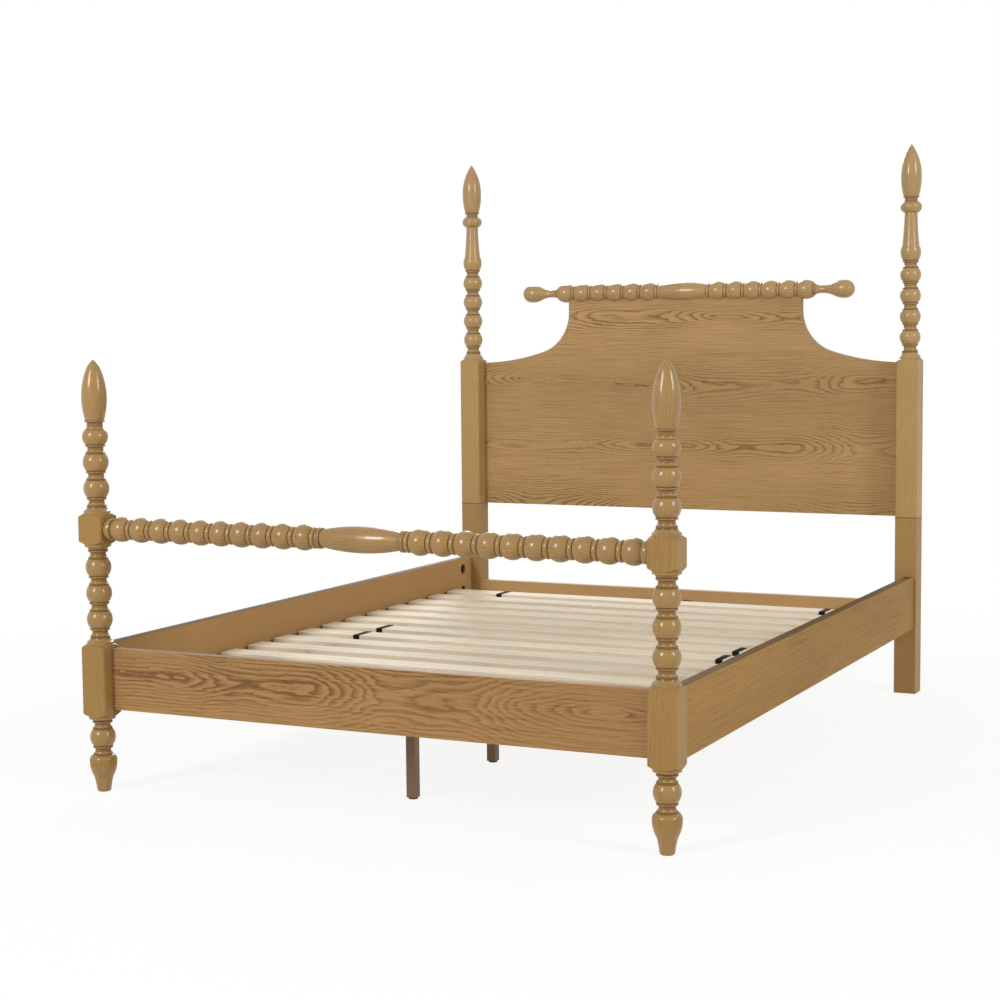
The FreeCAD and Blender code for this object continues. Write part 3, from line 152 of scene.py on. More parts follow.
def pair_of(piece):
    """The names of the left and the right one of a piece."""
    return ["%s_%s" % (piece, side) for side in SIDES]


# ------------------------------------------------------------------ settings


def colour(name, description, value):
    return bpy.props.FloatVectorProperty(
        name=name, description=description, subtype="COLOR", size=3, min=0, max=1, default=value)


def distance(name, description, value):
    return bpy.props.FloatProperty(
        name=name, description=description, unit="LENGTH", default=value)


def plain(name, description, value):
    return bpy.props.FloatProperty(name=name, description=description, default=value)


class BedWoodSettings(bpy.types.PropertyGroup):
    """Colours and figure of the wooden pieces."""

    panel_light: colour("Panel light", "Late wood of the headboard", srgb(170, 136, 90))
    panel_dark: colour("Panel dark", "Growth lines of the headboard", srgb(122, 88, 51))
    rail_light: colour("Foot rail light", "Late wood of the foot rail", srgb(159, 122, 78))
    rail_dark: colour("Foot rail dark", "Growth lines of the foot rail", srgb(114, 79, 42))
    side_light: colour("Side rail light", "Late wood of the side rails", srgb(160, 122, 66))
    side_dark: colour("Side rail dark", "Growth lines of the side rails", srgb(112, 77, 34))
    turned_light: colour("Head turned light", "Stained wood of the head posts and their spindle",
                         srgb(166, 134, 86))
    turned_dark: colour("Head turned dark", "Streaks in the head posts and their spindle",
                        srgb(145, 112, 68))
    foot_light: colour("Foot turned light", "Stained wood of the foot posts and their spindle",
                       srgb(150, 117, 67))
    foot_dark: colour("Foot turned dark", "Streaks in the foot posts and their spindle",
                      srgb(124, 93, 51))
    leg_light: colour("Head leg light", "Late wood of the head legs", srgb(157, 123, 75))
    leg_dark: colour("Head leg dark", "Growth lines of the head legs", srgb(135, 102, 59))
    glaze: colour("Glaze", "Stain that has settled in the grooves", srgb(88, 54, 20))
    inner_light: colour("Inner face", "Plain stained faces inside the frame",
                        srgb(176, 138, 92))
    inner_dark: colour("Inner streaks", "Streaks in the plain faces", srgb(158, 121, 78))
    pine_light: colour("Pine light", "Planed slats", srgb(230, 218, 197))
    pine_dark: colour("Pine dark", "Growth lines of the slats", srgb(212, 196, 170))
    # painted shade on the side faces of the slats, as if in shadow between them
    pine_side_shade: colour("Pine edge", "Painted shade on the side faces of the slats", srgb(196, 178, 148))
    leaf_width: distance("Veneer leaf", "Width of one leaf of the headboard's veneer", 0.2155)
    ring_width: distance("Growth ring", "Width of the headboard's growth rings", 0.0066)
    lacquer: bpy.props.FloatProperty(
        name="Lacquer", description="Gloss of the turned pieces", min=0, max=1, default=0.8,
        subtype="FACTOR")


class BedFittingSettings(bpy.types.PropertyGroup):
    """Colours of metal, plastic and webbing."""

    black_steel: colour("Black steel", "Bolts, nuts, brackets and their screws", srgb(26, 25, 25))
    leg_brown: colour("Leg brown", "Powder coat of the centre legs", srgb(110, 82, 52))
    zinc: colour("Zinc", "Plated screws and staples", srgb(178, 176, 168))
    brass: colour("Brass", "Threaded inserts", srgb(176, 142, 82))
    plastic: colour("Plastic", "Plugs and levelling feet", srgb(66, 50, 36))
    webbing: colour("Webbing", "Woven bands under the slats", srgb(12, 11, 11))
    dowel_light: colour("Dowel light", "Beech dowels", srgb(205, 175, 135))
    dowel_dark: colour("Dowel dark", "Flecks in the dowels", srgb(180, 146, 105))
    strap_width: distance("Band width", "Width of the woven bands", 0.02)
    strap_thickness: distance("Band thickness", "Thickness of the woven bands", 0.0012)


class BedStageSettings(bpy.types.PropertyGroup):
    """Camera, lamps and floor."""

    camera_place: bpy.props.FloatVectorProperty(
        name="Camera place", description="Where the camera stands", subtype="TRANSLATION",
        unit="LENGTH", size=3, default=(2.3221, -5.1604, 1.1743))
    camera_azimuth: plain("Azimuth", "Turn of the camera from straight on, in degrees", 25.682)
    camera_elevation: plain("Elevation", "Tilt below the horizon, in degrees", 4.9496)
    camera_roll: plain("Roll", "Roll of the camera, in degrees", -0.5229)
    focal_length: plain("Focal length", "In millimetres, on a 36 mm sensor", 71.245)
    key_power: plain("Lamp power", "Power of the strongest soft box, in watts", 380.0)
    lamp_size: distance("Lamp size", "Width of an oval soft box, which is twice as tall", 1.7)
    fill_level: plain("Fill", "Strength of the even light from all round", 0.48)


# ------------------------------------------------------------ shader helpers


class Graph:
    """Adds nodes to a tree and joins them."""

    # the colour sockets of a Mix node, which has a set for each kind of value
    COLOUR_A = 6
    COLOUR_B = 7
    COLOUR_RESULT = 2

    def __init__(self, tree):
        self.tree = tree

    def add(self, kind, sockets=None, **settings):
        node = self.tree.nodes.new(kind)
        for name, value in settings.items():
            setattr(node, name, value)
        for name, value in (sockets or {}).items():
            self.feed(node.inputs[name], value)
        return node

    def feed(self, socket, value):
        if isinstance(value, bpy.types.NodeSocket):
            self.tree.links.new(value, socket)
        elif socket.type == "RGBA" and len(value) == 3:
            socket.default_value = (*value, 1)
        else:
            socket.default_value = value

    def math(self, operation, first, second=0.0, clamp=False):
        node = self.add("ShaderNodeMath", {0: first, 1: second}, operation=operation)
        node.use_clamp = clamp
        return node.outputs[0]

    def split(self, vector):
        return self.add("ShaderNodeSeparateXYZ", {0: vector}).outputs

    def join(self, *parts):
        return self.add("ShaderNodeCombineXYZ", dict(enumerate(parts))).outputs[0]

    def shift(self, vector, location):
        node = self.add("ShaderNodeMapping", {"Vector": vector, "Location": location})
        return node.outputs["Vector"]

    def noise(self, vector, scale, detail=2.0, roughness=0.5, location=(0, 0, 0)):
        """Noise whose scale is given for each axis."""
        mapping = self.add("ShaderNodeMapping", {
            "Vector": vector, "Scale": scale, "Location": location})
        node = self.add("ShaderNodeTexNoise", {
            "Vector": mapping.outputs["Vector"], "Scale": 1.0, "Detail": detail,
            "Roughness": roughness})
        return node.outputs["Fac"]

    def mix(self, factor, first, second, blend="MIX"):
        node = self.add("ShaderNodeMix", data_type="RGBA", blend_type=blend)
        self.feed(node.inputs["Factor"], factor)
        self.feed(node.inputs[self.COLOUR_A], first)
        self.feed(node.inputs[self.COLOUR_B], second)
        return node.outputs[self.COLOUR_RESULT]

    def shade(self, colour, level):
        """The colour, lighter or darker by the level."""
        grey = self.add("ShaderNodeCombineColor", {0: level, 1: level, 2: level}).outputs[0]
        return self.mix(1.0, colour, grey, "MULTIPLY")

    def span(self, value, low, high, to_low=0.0, to_high=1.0, smooth=False):
        """The value's way from low to high, held at the ends, as one from to_low to to_high."""
        node = self.add("ShaderNodeMapRange", {
            "Value": value, "From Min": low, "From Max": high, "To Min": to_low,
            "To Max": to_high})
        if smooth:
            node.interpolation_type = "SMOOTHSTEP"
        return node.outputs[0]


def new_group(name, inputs, outputs):
    """A shader node group with its sockets; returns the graph, its inputs and its output."""
    group = bpy.data.node_groups.new(name, "ShaderNodeTree")
    kinds = {"vector": "NodeSocketVector", "colour": "NodeSocketColor",
             "value": "NodeSocketFloat"}
    for label, kind in inputs:
        group.interface.new_socket(name=label, in_out="INPUT", socket_type=kinds[kind])
    for label, kind in outputs:
        group.interface.new_socket(name=label, in_out="OUTPUT", socket_type=kinds[kind])
    graph = Graph(group)
    entry = graph.add("NodeGroupInput")
    leave = graph.add("NodeGroupOutput")
    return graph, entry.outputs, leave.inputs


def make_grain_group():
    """Sawn wood: X runs along the grain, Y across the face and Z through the board. Each leaf
    is cut beside the heart of its own log, whose growth rings are tubes round a wandering
    line. They meet the face as pointed arches in the middle and as straight lines beside."""
    graph, given, result = new_group(
        "wood_grain",
        [("Vector", "vector"), ("Light", "colour"), ("Dark", "colour"), ("Leaf", "value"),
         ("Ring", "value"), ("Depth", "value"), ("Wander", "value"), ("Wobble", "value"),
         ("Line", "value"), ("Contrast", "value"), ("Pores", "value"), ("Tone", "value")],
        [("Color", "colour"), ("Height", "value")])
    place = given["Vector"]
    along, across, through = graph.split(place)
    # which leaf this is, and how far from its middle line
    share = graph.math("DIVIDE", across, given["Leaf"])
    leaf = graph.math("FLOOR", graph.math("ADD", share, 0.5))
    aside = graph.math("MULTIPLY", graph.math("SUBTRACT", share, leaf), given["Leaf"])
    run = graph.join(along, graph.math("MULTIPLY", leaf, LEAF_STRIDE))
    # the heart of the log under the face: its depth and its sideways wander along the board
    heart = graph.noise(run, (1.5, 1, 1), 1.6, 0.45)
    depth = graph.math("MULTIPLY", graph.span(heart, 0.32, 0.68, -0.25, 1.25), given["Depth"])
    depth = graph.math("ADD", depth, through)
    sway = graph.noise(run, (0.8, 1, 1), 1.0, location=(7, 3, 2))
    sway = graph.math("MULTIPLY", graph.span(sway, 0.3, 0.7, -1.0, 1.0), given["Wander"])
    aside = graph.math("ADD", aside, sway)
    reach = graph.math("SQRT", graph.math("ADD", graph.math("MULTIPLY", aside, aside),
                                          graph.math("MULTIPLY", depth, depth)))
    slow = graph.noise(place, (5, 26, 26))
    quick = graph.noise(place, (24, 130, 130))
    wobble = graph.math("ADD", graph.span(slow, 0.25, 0.75, -1.0, 1.0),
                        graph.span(quick, 0.25, 0.75, -0.3, 0.3))
    rings = graph.math("ADD", graph.math("DIVIDE", reach, given["Ring"]),
                       graph.math("MULTIPLY", wobble, given["Wobble"]))
    ring = graph.math("FRACT", rings)
    # a growth line starts abruptly and fades into the late wood
    early = graph.span(ring, 0.0, given["Line"], 1.0, 0.0)
    late = graph.span(ring, 0.88, 1.0, 0.0, 1.0, smooth=True)
    line = graph.math("MAXIMUM", early, late)
    # lines cut along their tangent, in the arches, show more than those beside
    tangent = graph.math("DIVIDE", graph.math("ABSOLUTE", depth),
                         graph.math("MAXIMUM", reach, 0.001))
    line = graph.math("MULTIPLY", line, graph.span(tangent, 0.1, 0.9, 0.38, 1.0))
    zone = graph.noise(place, (1.3, 7, 7), 1.0, location=(3.1, 1.7, 0.4))
    line = graph.math("MULTIPLY", line, graph.span(zone, 0.32, 0.66, 0.45, 1.15))
    fibre = graph.noise(place, (5, 230, 230), 3.0, 0.6)
    fibre = graph.span(fibre, 0.3, 0.7, -0.3, 0.4)
    tone = graph.math("MULTIPLY", graph.math("ADD", line, fibre), given["Contrast"], clamp=True)
    base = graph.mix(tone, given["Light"], given["Dark"])
    # slow change of colour over the board, and from leaf to leaf
    drift = graph.noise(place, (0.9, 3.5, 3.5), location=(9, 2, 5))
    own = graph.add("ShaderNodeTexWhiteNoise", {"W": leaf}, noise_dimensions="1D")
    own = graph.math("MULTIPLY", graph.math("SUBTRACT", own.outputs["Value"], 0.5),
                     given["Tone"])
    level = graph.math("ADD", graph.span(drift, 0.3, 0.7, 0.91, 1.06), own)
    base = graph.shade(base, level)
    # short open pores, thickest in the growth lines
    pores = graph.noise(place, (45, 1300, 1300), 1.0)
    pores = graph.math("MULTIPLY", graph.span(pores, 0.55, 0.7), graph.math("ADD", line, 0.3))
    pores = graph.math("MULTIPLY", pores, given["Pores"], clamp=True)
    deep = graph.mix(1.0, given["Dark"], (0.42, 0.36, 0.3), "MULTIPLY")
    graph.feed(result["Color"], graph.mix(pores, base, deep))
    sunk = graph.math("ADD", pores, graph.math("MULTIPLY", line, 0.15))
    graph.feed(result["Height"], graph.math("MULTIPLY", sunk, -1.0))
    return graph.tree


def make_wear_group():
    """Faint mottling that keeps a lacquered or painted surface from looking new-made."""
    graph, given, result = new_group(
        "surface_wear",
        [("Vector", "vector"), ("Color", "colour"), ("Roughness", "value"),
         ("Amount", "value")],
        [("Color", "colour"), ("Roughness", "value"), ("Height", "value")])
    place = given["Vector"]
    cloud = graph.noise(place, (9, 9, 9), 4.0, 0.62)
    specks = graph.noise(place, (420, 420, 420))
    shift = graph.math("MULTIPLY", graph.span(cloud, 0.25, 0.75, -1.0, 1.0), given["Amount"])
    level = graph.math("ADD", 1.0, graph.math("MULTIPLY", shift, 0.35))
    graph.feed(result["Color"], graph.shade(given["Color"], level))
    rough = graph.math("ADD", given["Roughness"], graph.math("MULTIPLY", shift, 0.4))
    graph.feed(result["Roughness"], rough)
    graph.feed(result["Height"], graph.math("MULTIPLY", specks, given["Amount"]))
    return graph.tree


def make_glaze_group():
    """Where glaze has settled: in the turned grooves, and as a thin line where a bead ends.
    The axis of the turning runs along Z through the origin."""
    graph, given, result = new_group(
        "groove_glaze",
        [("Vector", "vector"), ("Groove", "value"), ("Crest", "value"), ("Edge", "value")],
        [("Mask", "value"), ("Radius", "value")])
    across, other = graph.split(given["Vector"])[:2]
    square = graph.math("ADD", graph.math("MULTIPLY", across, across),
                        graph.math("MULTIPLY", other, other))
    radius = graph.math("SQRT", square)
    low = graph.span(radius, given["Crest"], given["Groove"], smooth=True)
    away = graph.math("ABSOLUTE", graph.math("SUBTRACT", radius, given["Edge"]))
    line = graph.span(away, 0.0005, 0.0014, 0.8, 0.0)
    graph.feed(result["Mask"], graph.math("MAXIMUM", graph.math("MULTIPLY", low, 0.42), line))
    graph.feed(result["Radius"], radius)
    return graph.tree


def make_weave_group():
    """Plain-woven band: U runs across the band and V along it, both in metres. Its colour carries
    painted shade in the hollows between the threads and painted highlight on their crests.
    """
    graph, given, result = new_group(
        "band_weave", [("Vector", "vector"), ("Color", "colour")],
        [("Color", "colour"), ("Height", "value")])
    across, along = graph.split(given["Vector"])[:2]
    warp = graph.math("MULTIPLY", across, math.pi / WARP_PITCH)
    weft = graph.math("MULTIPLY", along, math.tau / WEFT_PITCH)
    # neighbouring threads go over the weft in turn
    over = graph.math("SIGN", graph.math("SINE", warp))
    ridge = graph.math("ABSOLUTE", graph.math("SINE", warp))
    crossing = graph.math("SINE", graph.math("ADD", weft, graph.math("MULTIPLY", over, 1.57)))
    height = graph.math("MULTIPLY", ridge, graph.span(crossing, -1.0, 1.0, 0.45, 1.0))
    # painted shade and highlight: the threads are lighter where they rise and darker in the
    # hollows between them
    level = graph.span(height, 0.0, 1.0, 0.45, 1.5)
    graph.feed(result["Color"], graph.shade(given["Color"], level))
    graph.feed(result["Height"], height)
    return graph.tree


GROUPS = {}


def use_group(graph, name, sockets):
    makers = {"grain": make_grain_group, "wear": make_wear_group, "glaze": make_glaze_group,
              "weave": make_weave_group}
    if name not in GROUPS:
        GROUPS[name] = makers[name]()
    node = graph.add("ShaderNodeGroup", node_tree=GROUPS[name])
    for label, value in sockets.items():
        graph.feed(node.inputs[label], value)
    return node.outputs


def new_material(name):
    """A material with its Principled shader; returns both and the graph."""
    material = bpy.data.materials.new(name)
    material.use_nodes = True
    graph = Graph(material.node_tree)
    shader = material.node_tree.nodes["Principled BSDF"]
    return material, graph, shader


def add_wear(graph, shader, place, tint, roughness, amount):
    """Gives the shader its colour and roughness with faint wear; returns the wear's height."""
    wear = use_group(graph, "wear", {
        "Vector": place, "Color": tint, "Roughness": roughness, "Amount": amount})
    graph.feed(shader.inputs["Base Color"], wear["Color"])
    graph.feed(shader.inputs["Roughness"], wear["Roughness"])
    return wear["Height"]


def add_bump(graph, shader, height, depth, strength=1.0):
    bump = graph.add("ShaderNodeBump", {"Height": height, "Distance": depth,
                                        "Strength": strength})
    graph.feed(shader.inputs["Normal"], bump.outputs["Normal"])


def object_place(graph):
    return graph.add("ShaderNodeTexCoord").outputs["Object"]


def twin_shift(graph, sideways):
    """Moves the left and the right piece of a pair apart on the log that both are cut from."""
    return graph.math("MULTIPLY", graph.math("SIGN", sideways), TWIN_SHIFT)


def seen_rays(graph):
    """One for what the camera sees straight, mirrored or through a piece, and else zero."""
    path = graph.add("ShaderNodeLightPath")
    return graph.math("MAXIMUM", path.outputs["Is Camera Ray"],
                      graph.math("MAXIMUM", path.outputs["Is Glossy Ray"],
                                 path.outputs["Is Transmission Ray"]))


def board_place(graph, order, shift, pair):
    """Coordinates along, across and through a board, in the order of the letters given. The
    left and the right piece of a pair share one material: they mirror, and each has its own
    figure."""
    parts = dict(zip("xyz", graph.split(object_place(graph))))
    if pair:
        twin = twin_shift(graph, parts["x"])
        parts["x"] = graph.math("ABSOLUTE", parts["x"])
        parts[order[0]] = graph.math("ADD", parts[order[0]], twin)
    return graph.shift(graph.join(*[parts[letter] for letter in order]), shift)


def add_seam(graph, base, height):
    """A thin dark line round a piece, where the upper post stands on the lower leg."""
    rise = graph.split(object_place(graph))[2]
    away = graph.math("ABSOLUTE", graph.math("SUBTRACT", rise, height))
    return graph.mix(graph.span(away, 0.0008, 0.002, 0.75, 0.0), base, SEAM_TINT)


def board_material(name, tints, order, shift, pair=False, leaf=ONE_LEAF, ring=0.0066,
                   depth=0.05, wander=0.02, wobble=0.5, line=0.5, contrast=0.7, pores=0.5,
                   tone=0.0, roughness=0.48, coat=0.04, plain_inside=None, seam=None,
                   painted_shade_top=None, painted_shade_sides=None):
    """A lacquered board. A plain inside is the even stain of the inner face of a board whose
    figured veneer is on the outer face only. Seam and painted shade top are heights: the seam is
    a dark joint line, and the board's top edge gets painted shade. The painted_shade_sides colour
    darkens a slat's side faces below its top as painted shade."""
    material, graph, shader = new_material(name)
    place = board_place(graph, order, shift, pair)
    through = graph.split(place)[2]
    grain = use_group(graph, "grain", {
        "Vector": place, "Light": tints[0], "Dark": tints[1], "Leaf": leaf, "Ring": ring,
        "Depth": depth, "Wander": wander, "Wobble": wobble, "Line": line,
        "Contrast": contrast, "Pores": pores, "Tone": tone})
    base = grain["Color"]
    if plain_inside:
        inside = graph.math("GREATER_THAN", graph.math("ABSOLUTE", through), INNER_FACE_DEPTH)
        even = graph.mix(0.18, plain_inside, grain["Color"])
        base = graph.mix(inside, base, even)
    # painted shade: a slat's side faces below its top are darkened, as if in shadow between the
    # slats
    if painted_shade_sides:
        painted_shade_faces = graph.math("LESS_THAN", through, -PAINTED_SHADE_SIDE_DEPTH)
        base = graph.mix(graph.math("MULTIPLY", painted_shade_faces, 0.45), base, painted_shade_sides)
    if seam:
        base = add_seam(graph, base, seam)
    # painted shade: the top edge of the board is darkened, as if in shadow
    if painted_shade_top:
        rise = graph.split(object_place(graph))[2]
        edge = graph.span(rise, painted_shade_top - PAINTED_SHADE_TOP_START, painted_shade_top - PAINTED_SHADE_TOP_FULL, 0.0,
                          0.75)
        base = graph.mix(edge, base, PAINTED_SHADE_TOP_TINT)
    add_wear(graph, shader, place, base, roughness, WOOD_WEAR)
    shader.inputs["Specular IOR Level"].default_value = WOOD_SPECULAR
    shader.inputs["Coat Weight"].default_value = coat
    shader.inputs["Coat Roughness"].default_value = 0.25
    shader.inputs["Coat IOR"].default_value = 1.35
    add_bump(graph, shader, grain["Height"], 0.0003)
    return material


def turned_material(name, centre, along, windows, groove, edge, tints, wood, seam=None):
    """Glossy lacquer over stained turned wood, darker where the glaze has settled in the
    grooves that lie inside the windows. The centre is a point on the axis of the turning;
    left and right posts share one centre. The edge is the radius at which a bead ends."""
    material, graph, shader = new_material(name)
    x, y, z = graph.split(object_place(graph))
    if along == "z":
        across = graph.math("SUBTRACT", graph.math("ABSOLUTE", x), centre[0])
        other = graph.math("SUBTRACT", y, centre[1])
        run = z
    else:
        across = graph.math("SUBTRACT", y, centre[1])
        other = graph.math("SUBTRACT", z, centre[2])
        run = graph.math("ABSOLUTE", x)
    glaze = use_group(graph, "glaze", {
        "Vector": graph.join(across, other), "Groove": groove + GLAZE_WHOLE,
        "Crest": groove + GLAZE_GONE, "Edge": edge})
    shown = 0.0
    for low, high in windows:
        window = graph.math("MULTIPLY", graph.math("GREATER_THAN", run, low),
                            graph.math("LESS_THAN", run, high))
        shown = graph.math("ADD", shown, window)
    mask = graph.math("MULTIPLY", graph.math("MULTIPLY", glaze["Mask"], shown), 0.8, clamp=True)
    place = graph.join(graph.math("ADD", run, twin_shift(graph, x)),
                       graph.math("ADD", across, HEART_ASIDE),
                       graph.math("ADD", other, HEART_BELOW))
    grain = use_group(graph, "grain", {
        "Vector": place, "Light": tints[0], "Dark": tints[1], "Leaf": ONE_LEAF, "Ring": 0.008,
        "Depth": 0.03, "Wander": 0.02, "Wobble": 0.7, "Line": 0.8, "Contrast": 0.28,
        "Pores": 0.3, "Tone": 0.0})
    stained = graph.mix(mask, grain["Color"], wood.glaze)
    if seam:
        stained = add_seam(graph, stained, seam)
    add_wear(graph, shader, place, stained, 0.4, WOOD_WEAR)
    shader.inputs["Specular IOR Level"].default_value = WOOD_SPECULAR
    # the flats of the square blocks are rubbed down, so they shine less than the turning
    flat = graph.math("GREATER_THAN", glaze["Radius"], BLOCK_RADIUS)
    shine = graph.span(flat, 0.0, 1.0, wood.lacquer, wood.lacquer * BLOCK_SHINE)
    # the matt glaze in the grooves dulls the lacquer, and so does a view along the surface
    shine = graph.math("MULTIPLY", shine, graph.span(mask, 0.0, 0.5, 1.0, 0.35))
    facing = graph.add("ShaderNodeLayerWeight", {"Blend": 0.5}).outputs["Facing"]
    shine = graph.math("MULTIPLY", shine, graph.span(facing, 0.5, 0.9, 1.0, 0.1))
    graph.feed(shader.inputs["Coat Weight"], shine)
    shader.inputs["Coat Roughness"].default_value = 0.17
    shader.inputs["Coat IOR"].default_value = 1.4
    add_bump(graph, shader, grain["Height"], 0.00002)
    return material


def coated_material(name, tint, roughness, amount=0.2, metallic=0.0, coat=0.0):
    """Metal, powder coat or moulded plastic with some wear."""
    material, graph, shader = new_material(name)
    height = add_wear(graph, shader, object_place(graph), tint, roughness, amount)
    shader.inputs["Metallic"].default_value = metallic
    shader.inputs["Coat Weight"].default_value = coat
    add_bump(graph, shader, height, 0.0002, 0.4)
    return material


def dress(material, *names):
    """Gives CAD nodes their finish."""
    for name in names:
        mesh = NODES[name].data
        if len(mesh.materials) == 0:
            mesh.materials.append(material)
        for slot in NODES[name].material_slots:
            slot.material = material


def new_object(name, data):
    """An object at the origin, linked to the scene."""
    thing = bpy.data.objects.new(name, data)
    bpy.context.scene.collection.objects.link(thing)
    return thing


# ------------------------------------------------------------------ operators


class BED_OT_turned_pieces(bpy.types.Operator):
    """Finish the posts and the two beaded rails"""

    bl_idname = "bed.turned_pieces"
    bl_label = "Turned Pieces"

    def execute(self, context):
        wood = context.scene.bed_wood
        foot_tints = (wood.foot_light, wood.foot_dark)
        head_tints = (wood.turned_light, wood.turned_dark)
        foot_low, foot_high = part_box("foot_post_right")
        head_low, head_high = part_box("head_post_right")
        # glaze stays off the finials, the column and the ends of the spindles
        foot_windows = ((foot_low.z + VASE_TOP, foot_high.z - FOOT_FINIAL),)
        head_windows = ((head_low.z, head_high.z - HEAD_COLUMN_FOOT),
                        (head_high.z - HEAD_COLUMN_TOP, head_high.z - HEAD_FINIAL))
        jobs = (
            (pair_of("foot_post"), "z", foot_windows, NECK_RADIUS, BEAD_END, foot_tints, None),
            (pair_of("head_post"), "z", head_windows, NECK_RADIUS, BEAD_END, head_tints,
             head_low.z),
            (["foot_spindle_rail"], "x", ((0.0, FOOT_SPINDLE_GLAZED),), FOOT_RAIL_GROOVE,
             NO_LINE, foot_tints, None),
            (["headboard_spindle"], "x", ((0.0, HEAD_SPINDLE_GLAZED),), NECK_RADIUS, NO_LINE,
             head_tints, None))
        for names, along, windows, groove, edge, tints, seam in jobs:
            low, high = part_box(names[-1])
            material = turned_material("turned_" + names[0], (low + high) / 2, along, windows,
                                       groove, edge, tints, wood, seam)
            dress(material, *names)
        return {"FINISHED"}


class BED_OT_headboard(bpy.types.Operator):
    """Finish the headboard panel, the head legs and the cross rail"""

    bl_idname = "bed.headboard"
    bl_label = "Headboard"

    def execute(self, context):
        wood = context.scene.bed_wood
        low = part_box("headboard_panel")[0]
        panel = board_material(
            "panel_oak", (wood.panel_light, wood.panel_dark), "xzy", (0.35, -0.774, -low.y),
            leaf=wood.leaf_width, ring=wood.ring_width, depth=0.06, wander=0.018, line=0.45,
            contrast=0.95, tone=0.04)
        dress(panel, "headboard_panel")
        leg = board_material(
            "leg_oak", (wood.leg_light, wood.leg_dark), "zxy", (0.3, -0.62, -1.0),
            pair=True, ring=0.008, depth=0.03, wobble=0.7, contrast=0.32, seam=low.z)
        dress(leg, *pair_of("head_leg"))
        cross = board_material(
            "cross_rail_wood", (wood.inner_light, wood.inner_dark), "xzy", (2, 0.4, -1.0),
            contrast=0.35, pores=0.15, roughness=0.52, coat=0.03)
        dress(cross, "head_cross_rail")
        return {"FINISHED"}


class BED_OT_rails(bpy.types.Operator):
    """Finish the foot rail, the side rails and what hides behind them"""

    bl_idname = "bed.rails"
    bl_label = "Rails"

    def execute(self, context):
        wood = context.scene.bed_wood
        foot_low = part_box("foot_rail")[0]
        foot = board_material(
            "foot_rail_oak", (wood.rail_light, wood.rail_dark), "xzy",
            (0.9, -0.305, -foot_low.y), ring=0.0082, depth=0.075, wander=0.02, wobble=0.62,
            line=0.62, contrast=1.25, pores=0.6, plain_inside=wood.inner_light)
        dress(foot, "foot_rail")
        side_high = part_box("side_rail_right")[1]
        side = board_material(
            "side_rail_oak", (wood.side_light, wood.side_dark), "yzx",
            (0.4, -0.42, -side_high.x), pair=True, ring=0.006, depth=0.04, wander=0.03,
            wobble=0.8, line=0.7, contrast=1.0, roughness=0.6, coat=0.0,
            plain_inside=wood.inner_light, painted_shade_top=side_high.z)
        dress(side, *pair_of("side_rail"))
        bearer = board_material(
            "bearer_wood", (wood.inner_light, wood.inner_dark), "yzx", (1, 0.3, 0), pair=True,
            contrast=0.4, pores=0.2, roughness=0.55, coat=0.0)
        dress(bearer, "centre_beam", *pair_of("cleat"))
        return {"FINISHED"}


class BED_OT_slats(bpy.types.Operator):
    """Finish the slats in planed pine"""

    bl_idname = "bed.slats"
    bl_label = "Slats"

    def execute(self, context):
        wood = context.scene.bed_wood
        first_low, first_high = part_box("slat_01")
        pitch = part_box("slat_02")[0].y - first_low.y
        middle = (first_low.y + first_high.y) / 2
        pine = board_material(
            "slat_pine", (wood.pine_light, wood.pine_dark), "xyz",
            (0.3, -middle, -first_high.z), leaf=pitch, ring=0.011, depth=0.05, wander=0.02,
            wobble=0.3, line=0.8, contrast=0.6, pores=0.05, tone=0.1, roughness=0.6, coat=0.0,
            painted_shade_sides=wood.pine_side_shade)
        dress(pine, *SLATS)
        return {"FINISHED"}


